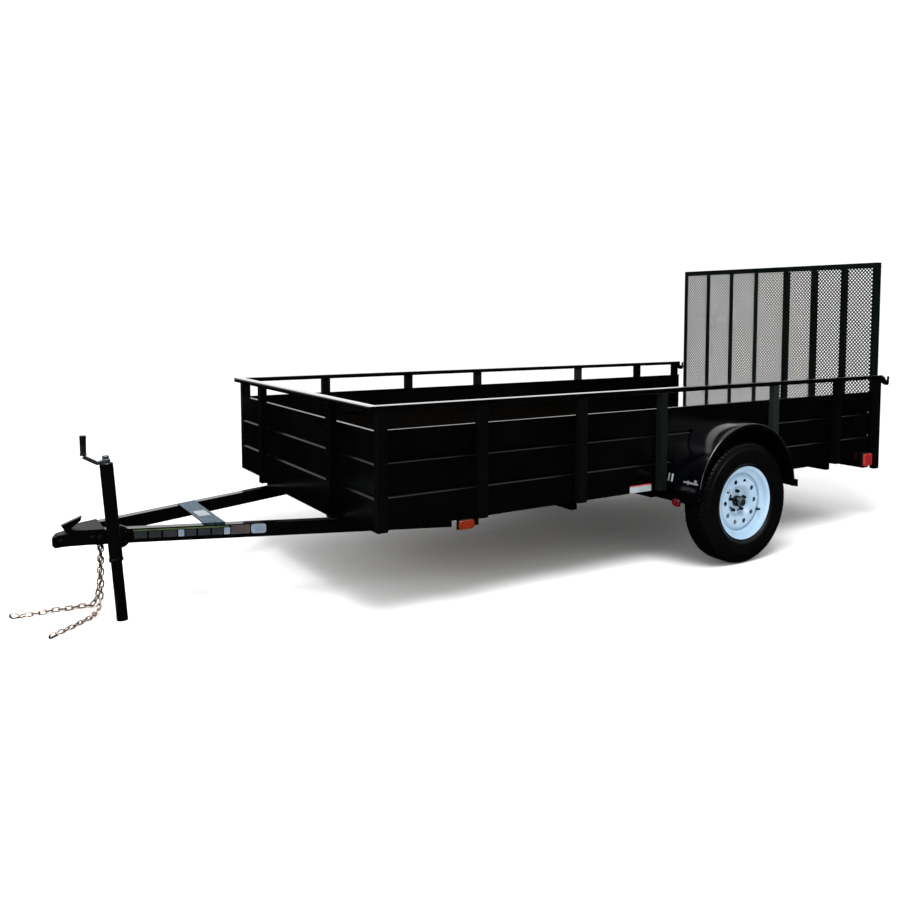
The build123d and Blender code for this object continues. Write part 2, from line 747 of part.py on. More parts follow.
hanger_plate = 6.0
hanger_width = 44.0
with BuildPart() as spring_hangers:
    for side in (-1, 1):
        for end in (-1, 1):
            eye_x = axle_x + end * spring_half
            for inner in (-spring_width / 2 - 1 - hanger_plate, spring_width / 2 + 1):
                with BuildSketch(Plane.XZ.offset(-side * spring_y - inner - hanger_plate)):
                    with Locations((eye_x, (frame_base + eye_z) / 2)):
                        Rectangle(hanger_width, frame_base - eye_z)
                    with Locations((eye_x, eye_z)):
                        Circle(eye_r)
                extrude(amount=hanger_plate)
            bolt_half = spring_width / 2 + 1 + hanger_plate
            with BuildSketch(Plane.XZ.offset(-side * spring_y - bolt_half)):
                with Locations((eye_x, eye_z)):
                    Circle(eye_bore - 0.3)
            extrude(amount=2 * bolt_half)

# seats, U-bolts and the plates under the axle, joined to the tube
bolt_r = 6.0
clamp_half = axle_r + bolt_r + 0.5
clamp_plate = 8.0
with BuildPart() as axle_clamps:
    for side in (-1, 1):
        with BuildSketch(Plane.XY.offset(axle_z + axle_r)):
            with Locations((axle_x, side * spring_y)):
                Rectangle(2 * clamp_half, spring_width)
        extrude(amount=seat)
        with BuildSketch(Plane.XY.offset(axle_z - axle_r - clamp_plate)):
            with Locations((axle_x, side * spring_y)):
                Rectangle(2 * clamp_half + 4 * bolt_r, spring_width + 4 * bolt_r)
        extrude(amount=clamp_plate)
        for end in (-1, 1):
            for across in (-1, 1):
                place = (axle_x + end * clamp_half, side * spring_y + across * (spring_width / 2 + bolt_r))
                with BuildSketch(Plane.XY.offset(axle_z - axle_r - clamp_plate)):
                    with Locations(place):
                        Circle(bolt_r)
                extrude(amount=main_leaf + leaf - axle_z + axle_r + clamp_plate)

# A wheel's sections are (distance out from its middle plane, radius).
wheel_axis = Axis((axle_x, 0, axle_z), (0, 1, 0))
half_tyre = tyre_width / 2
half_rim = rim_width / 2
tread_half = 56.0
shoulder_half = 76.0
bead_half = half_rim - 12.0
bead_r = 194.1
tyre_sides = 52              # a tyre's rings have this many flats, one of them on the ground
half_side = pi / tyre_sides
TREAD = (
    (-half_tyre, 262.0), (-half_tyre + 4, 300.0), (-shoulder_half, tyre_radius - 12), (-tread_half, tyre_radius),
    (tread_half, tyre_radius), (shoulder_half, tyre_radius - 12), (half_tyre - 4, 300.0), (half_tyre, 262.0),
)
BORE = (
    (-half_tyre, 262.0), (-half_tyre + 8, 222.0), (-bead_half - 3, 212.0), (-bead_half, bead_r),
    (bead_half, bead_r), (bead_half + 3, 212.0), (half_tyre - 8, 222.0), (half_tyre, 262.0),
)
barrel_r = 166.0
BARREL = (
    (half_rim - 2, rim_flange_r - 2), (half_rim - 8, 193.0), (42.0, 188.0), (30.0, barrel_r),
    (-30.0, barrel_r), (-42.0, 188.0), (-half_rim + 8, 193.0), (-half_rim + 2, rim_flange_r - 2),
)
disc_bore = 33.0
DISC = ((16.0, barrel_r - 1), (30.0, 142.0), (30.0, 98.0), (2.0, 76.0), (2.0, disc_bore))
disc_sheet = 4.0
barrel_sheet = 3.0
vent_count = 10
vent_ring = 118.0
vent_r = 14.0
stud_count = 5
stud_ring = 57.15
stud_r = 7.0
nut_r = 11.0
nut_height = 16.0
hub_flange_r = 70.0
hub_flange = 10.0
hub_barrel_r = 38.0
hub_inner = 68.0
boss_r = 31.0
boss_out = 38.0
cap_r = 26.0
cap_out = 58.0
plate_back = DISC[-1][0] - disc_sheet / 2
plate_front = DISC[-1][0] + disc_sheet / 2

wheels = {}
for name, side in SIDES:
    section_plane = Plane(origin=(axle_x, side * wheel_offset, axle_z), x_dir=(0, side, 0), z_dir=(side, 0, 0))

    # the tyre's flat faces join each ring of corners to the next, out over the tread and back through the bore
    rings = []
    for out, radius in TREAD + BORE[-2:0:-1]:
        corner_r = radius / cos(half_side)
        rings.append([
            Vector(axle_x + corner_r * sin(turn), side * (wheel_offset + out), axle_z - corner_r * cos(turn))
            for turn in ((2 * corner + 1) * half_side for corner in range(tyre_sides))
        ])
    flats = []
    for ring, after in zip(rings, rings[1:] + rings[:1]):
        for corner in range(tyre_sides):
            nearby = (corner + 1) % tyre_sides
            flats.append(Face(Wire.make_polygon([ring[corner], ring[nearby], after[nearby], after[corner]])))
    with BuildPart() as tyre:
        add(Solid(Shell(flats)))

    with BuildPart() as rim:
        with BuildSketch(section_plane):
            with BuildLine():
                Polyline(*BARREL)
                offset(amount=barrel_sheet / 2, kind=Kind.INTERSECTION)
            make_face()
            with BuildLine():
                Polyline(*DISC)
                offset(amount=disc_sheet / 2, kind=Kind.INTERSECTION)
            make_face()
        revolve(axis=wheel_axis)
        with BuildSketch(axle_face(wheel_offset + 10, side)):
            with PolarLocations(vent_ring, vent_count):
                Circle(vent_r)
        extrude(amount=40, mode=Mode.SUBTRACT)
        with BuildSketch(axle_face(wheel_offset + plate_back - 2, side)):
            with PolarLocations(stud_ring, stud_count):
                Circle(stud_r + 1.5)
        extrude(amount=disc_sheet + 4, mode=Mode.SUBTRACT)

    with BuildPart() as hub:
        with BuildSketch(axle_face(wheel_offset - hub_inner, side)):
            Circle(hub_barrel_r)
        extrude(amount=hub_inner + plate_back)
        with BuildSketch(axle_face(wheel_offset + plate_back - hub_flange, side)):
            Circle(hub_flange_r)
        extrude(amount=hub_flange)
        with BuildSketch(axle_face(wheel_offset + plate_back, side)):
            Circle(boss_r)
        extrude(amount=boss_out)
        with BuildSketch(axle_face(wheel_offset + plate_back, side)):
            Circle(cap_r)
        extrude(amount=cap_out)
        with BuildSketch(axle_face(wheel_offset + plate_back, side)):
            with PolarLocations(stud_ring, stud_count):
                Circle(stud_r)
        extrude(amount=disc_sheet + nut_height + 6)
        with BuildSketch(axle_face(wheel_offset + plate_front + 0.3, side)):
            with PolarLocations(stud_ring, stud_count):
                RegularPolygon(nut_r, 6)
        extrude(amount=nut_height)
        with BuildSketch(axle_face(wheel_offset - hub_inner, side)):
            Circle(spindle_r + hub_clear)
        extrude(amount=spindle_end - wheel_offset + hub_inner + 1, mode=Mode.SUBTRACT)

    wheels[name] = (tyre, rim, hub)

# ---------------------------------------------------------------- fenders
fender_end = axle_z + fender_lift
fenders = {}
for name, side in SIDES:
    with BuildPart() as fender:
        with BuildSketch(axle_face(half_width, side)):
            with Locations((0, fender_lift)):
                Circle(fender_r)
                Circle(fender_r - fender_sheet, mode=Mode.SUBTRACT)
        extrude(amount=fender_width)
        with BuildSketch(axle_face(half_width + fender_width - fender_sheet, side)):
            with Locations((0, fender_lift)):
                Circle(fender_r)
                Circle(fender_r - fender_lip, mode=Mode.SUBTRACT)
        extrude(amount=fender_sheet)
        split(bisect_by=Plane.XY.offset(fender_end), keep=Keep.TOP)
        for end, foot in zip((-1, 1), fender_feet):
            with BuildSketch(Plane.XY.offset(fender_end)):
                foot_x = axle_x + end * (fender_r - fender_sheet + foot / 2)
                with Locations((foot_x, side * (half_width + fender_width / 2))):
                    Rectangle(foot, fender_width)
            extrude(amount=fender_sheet)
    fenders[name] = fender

# flat bars across the fenders' ends: the front one is carried by the cross-member behind it
fender_bar = 6.0
front_bar_x = bed_front + side_post_at[2] + member_width / 2
front_bar_inner = member_half - member_width
front_bar_outer = half_width + fender_width - 30.0
rear_bar_x = axle_x + fender_r - fender_sheet + fender_feet[1]
rear_bar_drop = 34.0
rear_bar_height = 42.0
with BuildPart() as fender_bars:
    for side in (-1, 1):
        with BuildSketch(Plane.XY.offset(frame_base - member_depth)):
            with Locations((front_bar_x + fender_bar / 2, side * (front_bar_inner + front_bar_outer) / 2)):
                Rectangle(fender_bar, front_bar_outer - front_bar_inner)
        extrude(amount=member_depth)
        with BuildSketch(Plane.XY.offset(frame_base - rear_bar_drop)):
            with Locations((rear_bar_x + fender_bar / 2, side * (half_width + fender_width / 2))):
                Rectangle(fender_bar, fender_width)
        extrude(amount=rear_bar_height)


# ---------------------------------------------------------------- lamps
bracket_thick = 3.0
amber_length = 90.0
amber_depth = 25.0
amber_height = 48.0
red_depth = 14.0
red_width = 52.0
red_height = 45.0
tail_inset = 128.0           # tail lamp's centre ahead of the frame's rear end
tail_at = bed_length - tail_inset
tail_length = 95.0
tail_depth = 37.0
tail_height = 92.0
# node: behind the front wall, out from the centre line and above the frame's underside (to the
# middle of the lamp), then length along X, width along Y and height
LAMPS = {
    "amber_markers": (
        465.0, half_width - sheet + amber_depth / 2, -amber_height / 2, amber_length, amber_depth, amber_height),
    "red_markers": (
        side_post_at[2] + member_width / 2 - red_depth / 2, half_width + 123, -52.0,
        red_depth, red_width, red_height),
    "tail_lamps": (tail_at, half_width + tail_depth / 2, -4.0, tail_length, tail_depth, tail_height),
}
lamps = {}
for node, (at, out, up, length, width, height) in LAMPS.items():
    with BuildPart() as lamp:
        for side in (-1, 1):
            with Locations((bed_front + at, side * out, frame_base + up)):
                Box(length, width, height)
    lamps[node] = lamp

# plates hanging from the frame rails behind the lamps on the bed's sides
with BuildPart() as lamp_brackets:
    for node in ("amber_markers", "tail_lamps"):
        at, out, up, length, width, height = LAMPS[node]
        drop = height / 2 - up
        for side in (-1, 1):
            with BuildSketch(Plane.XY.offset(frame_base - drop)):
                with Locations((bed_front + at, side * (half_width - sheet - bracket_thick / 2))):
                    Rectangle(length, bracket_thick)
            extrude(amount=drop)


# ---------------------------------------------------------------- write the pieces
pieces = {
    "frame_rails": frame_rails, "front_sill": front_sill, "rear_sill": rear_sill,
    "cross_members": cross_members, "deck_boards": deck_boards,
    "left_wall": left_wall, "right_wall": right_wall, "front_wall": front_wall,
    "side_posts": side_posts, "front_posts": front_posts,
    "front_top_rail": front_top_rail, "side_top_rails": side_top_rails,
    "tongue_beams": tongue_beams, "tongue_plate": tongue_plate,
    "coupler": coupler, "coupler_latch": coupler_latch,
    "jack_bracket": jack_bracket, "jack_tube": jack_tube, "jack_crank": jack_crank,
    "jack_grip": jack_grip, "jack_ram": jack_ram,
    "chain_anchor": chain_anchor, "left_chain": chains["left"], "right_chain": chains["right"],
    "chain_hooks": chain_hooks,
    "gate_frame": gate_frame, "gate_uprights": gate_uprights, "gate_mesh": gate_mesh,
    "gate_hinge_sleeves": gate_hinge_sleeves, "gate_hinge_pins": gate_hinge_pins,
    "gate_latches": gate_latches,
    "axle": axle, "springs": springs, "spring_hangers": spring_hangers, "axle_clamps": axle_clamps,
    "lamp_brackets": lamp_brackets, "fender_bars": fender_bars,
}
for name, _ in SIDES:
    pieces[f"{name}_tyre"], pieces[f"{name}_rim"], pieces[f"{name}_hub"] = wheels[name]
    pieces[f"{name}_fender"] = fenders[name]
pieces.update(lamps)

for name, piece in pieces.items():
    piece.part.label = name
    export_step(piece.part, f"parts/{name}.step")
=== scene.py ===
# %% [markdown]
# # A utility trailer with a ramp gate
# The trailer is a steel box bed on one sprung axle, with an A-frame tongue in front and a mesh
# ramp gate behind. The CAD model gives every solid its place. This lesson gives the solids their
# finishes and adds what is too fine for CAD: tread, links, lenses, labels and fasteners.

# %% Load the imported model
import math

import bmesh
import bpy
import numpy as np
from mathutils import Matrix, Vector


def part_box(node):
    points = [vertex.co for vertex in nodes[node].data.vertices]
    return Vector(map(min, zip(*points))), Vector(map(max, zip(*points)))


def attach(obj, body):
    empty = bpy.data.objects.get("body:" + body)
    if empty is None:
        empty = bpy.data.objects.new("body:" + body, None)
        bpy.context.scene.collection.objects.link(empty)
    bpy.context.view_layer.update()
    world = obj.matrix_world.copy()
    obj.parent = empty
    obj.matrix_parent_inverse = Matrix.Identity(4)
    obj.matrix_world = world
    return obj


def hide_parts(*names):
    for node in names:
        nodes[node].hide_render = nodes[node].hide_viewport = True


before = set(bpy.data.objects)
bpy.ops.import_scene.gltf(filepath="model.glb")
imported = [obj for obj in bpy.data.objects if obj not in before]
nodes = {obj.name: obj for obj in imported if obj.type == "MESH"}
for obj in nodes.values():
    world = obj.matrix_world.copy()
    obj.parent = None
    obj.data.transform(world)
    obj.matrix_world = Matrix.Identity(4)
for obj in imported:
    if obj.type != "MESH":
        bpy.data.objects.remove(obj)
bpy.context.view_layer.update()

# %% [markdown]
# ## Sizes
# Lengths are in metres. The floor is z = 0, +X points to the rear and -Y to the left side, where
# the jack is. Sizes that several pieces share are read from the model, so they stay together.

# %% Shared sizes
MM = 0.001


def corners(node):
    """The lowest and highest corner of a CAD node, as two arrays."""
    low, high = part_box(node)
    return np.array(low), np.array(high)


wall_low = corners("left_wall")[0]
bed_front = wall_low[0]
wall_y = -wall_low[1]
frame_base = wall_low[2]
tyre_low, tyre_high = corners("left_tyre")
axle_x = (tyre_low[0] + tyre_high[0]) / 2
axle_z = (tyre_low[2] + tyre_high[2]) / 2
wheel_y = -(tyre_low[1] + tyre_high[1]) / 2
SIDES = (("left", -1), ("right", 1))
print("axle at", round(axle_x, 3), round(axle_z, 3), "wheel at", round(wheel_y, 4))

# %% [markdown]
# ## Surfaces from grids
# Every new shape here is a grid of points worked out with numpy, with quads between neighbours. It
# could be modelled by hand, but a formula keeps each size exact and easy to change. Most grids wrap
# round across their columns, as a tube does, and a ring wraps both ways. Several grids can be one
# piece. Points that fall together at a pole are merged, and the normals are turned outwards.


# %% Grid helpers
def grid_quads(rows, columns, wrap_rows, wrap_columns):
    """Quads of a grid: point (i, j) with (i, j+1), (i+1, j+1) and (i+1, j), wrapping where asked."""
    i, j = np.meshgrid(
        np.arange(rows if wrap_rows else rows - 1),
        np.arange(columns if wrap_columns else columns - 1), indexing="ij")
    below, beside = (i + 1) % rows, (j + 1) % columns
    quads = [i * columns + j, i * columns + beside, below * columns + beside, below * columns + j]
    return np.stack(quads, axis=-1).reshape(-1, 4)


def add_piece(name, grids, material, body="frame", smooth=30, replaces=()):
    """Makes one object from grids of rows x columns x 3 points.

    A grid given alone wraps across its columns; otherwise it is (points, wrap rows, wrap columns).
    Edges that turn by more than smooth degrees stay sharp.
    """
    vertices, faces, count = [], [], 0
    for grid in grids:
        points, wrap_rows, wrap_columns = grid if isinstance(grid, tuple) else (grid, False, True)
        rows, columns = points.shape[:2]
        faces.append(grid_quads(rows, columns, wrap_rows, wrap_columns) + count)
        vertices.append(points.reshape(-1, 3))
        count += rows * columns
    mesh = bpy.data.meshes.new(name)
    mesh.from_pydata(np.concatenate(vertices).tolist(), [], np.concatenate(faces).tolist())
    work = bmesh.new()
    work.from_mesh(mesh)
    bmesh.ops.remove_doubles(work, verts=work.verts, dist=2e-6)
    bmesh.ops.dissolve_degenerate(work, edges=work.edges, dist=1e-7)
    bmesh.ops.recalc_face_normals(work, faces=work.faces)
    work.to_mesh(mesh)
    work.free()
    piece = bpy.data.objects.new(name, mesh)
    bpy.context.scene.collection.objects.link(piece)
    mesh.materials.append(material)
    if smooth:
        mesh.shade_smooth()
        sharp = np.zeros(len(mesh.edges), dtype=bool)
        work = bmesh.new()
        work.from_mesh(mesh)
        for edge in work.edges:
            sharp[edge.index] = edge.calc_face_angle(0) > math.radians(smooth)
        work.free()
        mesh.attributes.new("sharp_edge", "BOOLEAN", "EDGE").data.foreach_set("value", sharp)
    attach(piece, body)
    if replaces:
        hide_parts(*replaces)
    return piece


def in_mm(*points):
    """Points given in millimetres, as an array in metres."""
    return np.array(points) * MM


def ring_profile(radius, count):
    """Points of a circle about the origin: (radius cos t, radius sin t)."""
    t = np.linspace(0, 2 * math.pi, count, endpoint=False)
    return np.stack([radius * np.cos(t), radius * np.sin(t)], axis=-1)


def sweep(path, profile, up, scale=None):
    """Carries a profile along a path: point + side x profile[0] + lift x profile[1], times a scale."""
    path = np.asarray(path, float)
    tangent = np.gradient(path, axis=0)
    tangent /= np.linalg.norm(tangent, axis=1, keepdims=True)
    side = np.cross(np.broadcast_to(up, path.shape), tangent)
    side /= np.linalg.norm(side, axis=1, keepdims=True)
    lift = np.cross(tangent, side)
    size = np.ones(len(path)) if scale is None else np.asarray(scale, float)
    size = size[:, None, None]
    return path[:, None] + size * (
        side[:, None] * profile[None, :, :1] + lift[:, None] * profile[None, :, 1:])


def closed(points):
    """Adds a pole to each end of a tube: a first and a last row that fall on their row's middle."""
    first = np.broadcast_to(points[0].mean(axis=0), points[0].shape)
    last = np.broadcast_to(points[-1].mean(axis=0), points[-1].shape)
    return np.concatenate([first[None], points, last[None]])


def turned(profile, centre, axis, start, count=48):
    """Turns a profile of (along the axis, radius) round an axis: centre + along + radius (cos t, sin t)."""
    axis, start = np.array(axis, float), np.array(start, float)
    axis, start = axis / np.linalg.norm(axis), start / np.linalg.norm(start)
    across = np.cross(axis, start)
    t = np.linspace(0, 2 * math.pi, count, endpoint=False)
    around = np.cos(t)[:, None] * start + np.sin(t)[:, None] * across
    profile = np.asarray(profile, float)
    return (np.array(centre) + profile[:, 0, None, None] * axis
            + profile[:, 1, None, None] * around[None])


def pillow(centre, half, power, rows=16, columns=40):
    """A rounded block: x, y, z each follow the sign and a power of a sphere's cosines and sines."""
    def soft(value):
        return np.sign(value) * np.abs(value) ** (2 / power)
    v = np.linspace(-math.pi / 2, math.pi / 2, rows)[:, None]
    u = np.linspace(0, 2 * math.pi, columns, endpoint=False)[None]
    local = np.stack([
        half[0] * soft(np.cos(v)) * soft(np.cos(u)), half[1] * soft(np.cos(v)) * soft(np.sin(u)),
        half[2] * soft(np.sin(v)) * np.ones_like(u)], axis=-1)
    return np.array(centre) + local


def block(low, high):
    """A pillow that nearly fills the box between two corners, with crisp but softened edges."""
    low, high = np.array(low, float), np.array(high, float)
    return pillow((low + high) / 2, (high - low) / 2, 14.0)


def round_bar(width, height, radius):
    """A rectangle with round corners about its middle: a circle whose quarters are moved apart."""
    t = np.linspace(0, 2 * math.pi, 24, endpoint=False) + math.pi / 24
    return np.stack([
        np.sign(np.cos(t)) * (width / 2 - radius) + radius * np.cos(t),
        np.sign(np.sin(t)) * (height / 2 - radius) + radius * np.sin(t)], axis=-1)


def slab(centre, axes, half_width, half_height, radius, thick):
    """A flat plate with round corners: its outline at two heights, each closed by a pole."""
    outline = round_bar(2 * half_width, 2 * half_height, radius)
    rows = [(0.0, thick), (1.0, thick), (1.0, 0.0), (0.0, 0.0)]
    local = np.stack([np.concatenate([outline * spread, np.full((24, 1), depth)], axis=1)
                      for spread, depth in rows])
    return np.array(centre) + local @ np.array(axes, float)


def bolt(at, axis, radius, height, washer=1.45):
    """A washer and a six-sided head on it, both turned round the bolt's axis."""
    start = np.cross(axis, (0.31, 0.52, 0.8))
    flat = washer * radius
    disc = ((0, 0), (0, flat), (0.18 * height, flat), (0.18 * height, 0))
    head = ((0, 0), (0, radius), (0.9 * height, radius), (height, 0.84 * radius), (height, 0))
    return [turned(disc, at, axis, start, 20), turned(head, at, axis, start, 6)]


# %% [markdown]
# ## Colours and nodes
# Paint charts and swatches give colours as sRGB hex values, while a shader works in linear light,
# so one function converts them. Another adds a node, sets its values and links its inputs.


# %% Material helpers
def linear(swatch):
    """sRGB hex to linear light: c / 12.92 below 0.04045, else ((c + 0.055) / 1.055) to the power 2.4."""
    parts = [int(swatch[k:k + 2], 16) / 255 for k in (1, 3, 5)]
    return (*[c / 12.92 if c <= 0.04045 else ((c + 0.055) / 1.055) ** 2.4 for c in parts], 1.0)


def add_node(tree, kind, values=None, links=None, **settings):
    """Adds a node, with values for its inputs, outputs linked to its inputs, and its other settings."""
    node = tree.nodes.new("ShaderNode" + kind)
    for name, value in settings.items():
        setattr(node, name, value)
    for name, value in (values or {}).items():
        node.inputs[name].default_value = value
    for name, output in (links or {}).items():
        tree.links.new(output, node.inputs[name])
    return node


def start_material(name, values):
    """A material with a Principled shader that has these values; returns material, tree and shader."""
    material = bpy.data.materials.new(name)
    material.use_nodes = True
    tree = material.node_tree
    shader = tree.nodes["Principled BSDF"]
    for key, value in values.items():
        shader.inputs[key].default_value = value
    return material, tree, shader


def place(tree, scale=(1.0, 1.0, 1.0)):
    """Object coordinates, stretched for a pattern."""
    where = add_node(tree, "TexCoord")
    return add_node(tree, "Mapping", {"Scale": scale}, {"Vector": where.outputs["Object"]}).outputs["Vector"]


def blend_ramp(tree, factor, stops):
    """A colour ramp through (position, hex) stops."""
    ramp = add_node(tree, "ValToRGB", links={"Fac": factor})
    while len(ramp.color_ramp.elements) < len(stops):
        ramp.color_ramp.elements.new(0.5)
    for element, (position, swatch) in zip(ramp.color_ramp.elements, stops):
        element.position, element.color = position, linear(swatch)
    return ramp.outputs["Color"]


def tint(tree, shader, factor, *stops):
    """Base colour from a pattern, by a colour ramp."""
    tree.links.new(blend_ramp(tree, factor, stops), shader.inputs["Base Color"])


def roughen(tree, shader, noise, low, high):
    """Roughness that runs from low to high as a noise goes from 0.3 to 0.7."""
    spread = add_node(tree, "MapRange", {"From Min": 0.3, "From Max": 0.7, "To Min": low, "To Max": high},
                      {"Value": noise})
    tree.links.new(spread.outputs["Result"], shader.inputs["Roughness"])


def raise_surface(tree, shader, height, depth, strength):
    """Bump: the height pattern stands up to depth metres proud."""
    bump = add_node(tree, "Bump", {"Strength": strength, "Distance": depth}, {"Height": height})
    tree.links.new(bump.outputs["Normal"], shader.inputs["Normal"])


# %% [markdown]
# ## Paint
# The frame, walls and gate are mild steel with black powder coat. The powder melts into a thick
# glossy skin with a faint orange peel, so it reflects softly and looks black where it faces away
# from the light. Each group of pieces has its own gloss: the upper rails carry a clear coat, the
# gate took a thinner, greyer one, and the coupler has plain chassis paint. One function makes
# these, because only the colour, the roughness and the coat differ. The posts took a thinner satin
# coat from a second function, and their grey is a reflection painted along their length.


# %% Powder coat
def powder_coat(name, base, dusty, rough, level, coat):
    """Black powder coat: dust that comes and goes over 0.4 m, and a peel of 6 mm.

    Real peel is about 2 mm, which is too fine to show, so it is drawn coarser.
    """
    material, tree, shader = start_material(name, {
        "IOR": 1.5, "Specular IOR Level": level, "Coat Weight": coat, "Coat Roughness": 0.06,
        "Coat IOR": 1.5})
    where = place(tree)
    dust = add_node(tree, "TexNoise", {"Scale": 1 / 0.4, "Detail": 5.0, "Roughness": 0.6},
                    {"Vector": where})
    tint(tree, shader, dust.outputs["Fac"], (0.35, base), (0.75, dusty))
    roughen(tree, shader, dust.outputs["Fac"], rough - 0.05, rough + 0.08)
    peel = add_node(tree, "TexNoise", {"Scale": 1 / (6 * MM), "Detail": 1.0}, {"Vector": where})
    raise_surface(tree, shader, peel.outputs["Fac"], 0.05 * MM, 0.15)
    return material


black_gloss = powder_coat("black_powder_coat", "#020202", "#050505", 0.12, 0.15, 0.3)
black_wall = powder_coat("wall_black_powder_coat", "#010101", "#030303", 0.18, 0.34, 0.0)
black_coupler = powder_coat("coupler_black_paint", "#010102", "#020203", 0.34, 0.06, 0.0)
black_rail = powder_coat("rail_black_powder_coat", "#020202", "#040404", 0.08, 0.4, 1.0)
black_fender = powder_coat("fender_black_powder_coat", "#020204", "#040508", 0.14, 0.5, 0.15)
black_gate = powder_coat("gate_black_powder_coat", "#050908", "#0a100f", 0.3, 0.14, 0.0)


def post_coat_with_painted_reflection():
    """Satin black posts with a painted reflection: a colour ramp along x greys them, most near x = 1.3 m."""
    material, tree, shader = start_material("satin_black_posts_painted_reflection", {"IOR": 1.5, "Specular IOR Level": 0.18})
    where = place(tree)
    split = add_node(tree, "SeparateXYZ", links={"Vector": where})
    along = add_node(tree, "MapRange", {"From Min": -1.3, "From Max": 2.6}, {"Value": split.outputs["X"]})
    # painted reflection: this ramp along x greys the posts between about x = 0.3 and 2.0 m, most near 1.3 m
    tint(tree, shader, along.outputs["Result"], (0.0, "#020202"), (0.26, "#020302"), (0.42, "#070a09"),
         (0.67, "#1e2423"), (0.76, "#0c0e0d"), (0.84, "#020303"))
    dust = add_node(tree, "TexNoise", {"Scale": 1 / 0.3, "Detail": 4.0}, {"Vector": where})
    roughen(tree, shader, dust.outputs["Fac"], 0.28, 0.4)
    raise_surface(tree, shader, dust.outputs["Fac"], 0.05 * MM, 0.15)
    return material


black_satin_painted_reflection = post_coat_with_painted_reflection()

# %% [markdown]
# ## Bare and plated metal
# The screws and rivets are bright zinc plate, which is worn on the crank and dull on the grease
# caps. The jack's bolts are black oxide, the safety chains are yellow chromate over zinc, and the
# cross plate is hot-dip galvanised, which shows its crystals as a spangle. All are metals, so
# their colour is the colour of their reflection, and noise varies it as handling does.


# %% Plated metal
def plated(name, dark, light, rough, grain=9.0):
    """Zinc plate: a metal whose tint and roughness vary over a few millimetres (grain)."""
    material, tree, shader = start_material(name, {"Metallic": 1.0})
    where = place(tree)
    noise = add_node(tree, "TexNoise", {"Scale": 1 / (grain * MM), "Detail": 4.0}, {"Vector": where})
    tint(tree, shader, noise.outputs["Fac"], (0.3, dark), (0.7, light))
    roughen(tree, shader, noise.outputs["Fac"], rough, rough + 0.14)
    raise_surface(tree, shader, noise.outputs["Fac"], 0.1 * MM, 0.3)
    return material


def spangled(name, dark, light):
    """Hot-dip galvanised sheet: each crystal of about 12 mm has its own grey, tint and roughness."""
    material, tree, shader = start_material(name, {"Metallic": 0.85})
    where = place(tree)
    crystal = add_node(tree, "TexVoronoi", {"Scale": 1 / (12 * MM)}, {"Vector": where})
    tint(tree, shader, crystal.outputs["Color"], (0.1, dark), (0.9, light))
    roughen(tree, shader, crystal.outputs["Distance"], 0.34, 0.5)
    raise_surface(tree, shader, crystal.outputs["Distance"], 0.05 * MM, 0.25)
    return material


zinc = plated("bright_zinc_plate", "#8d9599", "#c3c9cb", 0.24)
dark_zinc = plated("black_oxide_steel", "#1b1c1e", "#2e3033", 0.38)
yellow_zinc = plated("yellow_chromate_zinc", "#c5a48c", "#f1dbca", 0.24, grain=14.0)
worn_zinc = plated("worn_zinc_plate", "#566062", "#7f898a", 0.3)
dull_zinc = plated("dull_zinc_plate", "#586a6a", "#8a9e99", 0.36)
galvanised = spangled("galvanised_steel", "#223c4a", "#365c71")

# %% [markdown]
# ## Rubber, enamel, plastic and wood
# Tyre rubber is a dull black with a fine mould texture. The wheels are white enamel with a cool
# tint. The grip is moulded plastic with a fine grain. The deck is treated pine: long grain, darker
# summer wood, and boards that differ from each other, which one number per board brings about.


# %% Tyre rubber
def tyre_rubber():
    """Rubber: fine mould texture of 1.5 mm, dust over 0.15 m."""
    material, tree, shader = start_material("tyre_rubber", {"IOR": 1.5, "Specular IOR Level": 0.2})
    where = place(tree)
    dust = add_node(tree, "TexNoise", {"Scale": 1 / 0.15, "Detail": 6.0}, {"Vector": where})
    tint(tree, shader, dust.outputs["Fac"], (0.3, "#020202"), (0.75, "#050506"))
    roughen(tree, shader, dust.outputs["Fac"], 0.34, 0.46)
    grain = add_node(tree, "TexNoise", {"Scale": 1 / (1.5 * MM), "Detail": 2.0}, {"Vector": where})
    raise_surface(tree, shader, grain.outputs["Fac"], 0.15 * MM, 0.5)
    return material


rubber = tyre_rubber()


# %% Wheel enamel and plastic
def smooth_coat(name, base, shade, rough, grain, depth, coat=0.0, level=0.5):
    """Enamel, plastic or scuffed steel: a colour that drifts over 120 mm, and a grain in millimetres."""
    material, tree, shader = start_material(name, {
        "IOR": 1.5, "Specular IOR Level": level, "Coat Weight": coat, "Coat Roughness": 0.08})
    where = place(tree)
    drift = add_node(tree, "TexNoise", {"Scale": 1 / 0.12, "Detail": 3.0}, {"Vector": where})
    tint(tree, shader, drift.outputs["Fac"], (0.35, base), (0.7, shade))
    roughen(tree, shader, drift.outputs["Fac"], rough, rough + 0.08)
    fine = add_node(tree, "TexNoise", {"Scale": 1 / (grain * MM), "Detail": 1.0}, {"Vector": where})
    raise_surface(tree, shader, fine.outputs["Fac"], depth * MM, 0.4)
    return material


bare_edge = smooth_coat("scuffed_bare_steel", "#4f5355", "#6f7476", 0.4, 5.0, 0.1)
enamel = smooth_coat("white_wheel_enamel", "#a0b8cc", "#8facc3", 0.3, 4.0, 0.04, coat=0.2)
plastic = smooth_coat("black_moulded_plastic", "#030303", "#080808", 0.42, 1.2, 0.1, level=0.2)


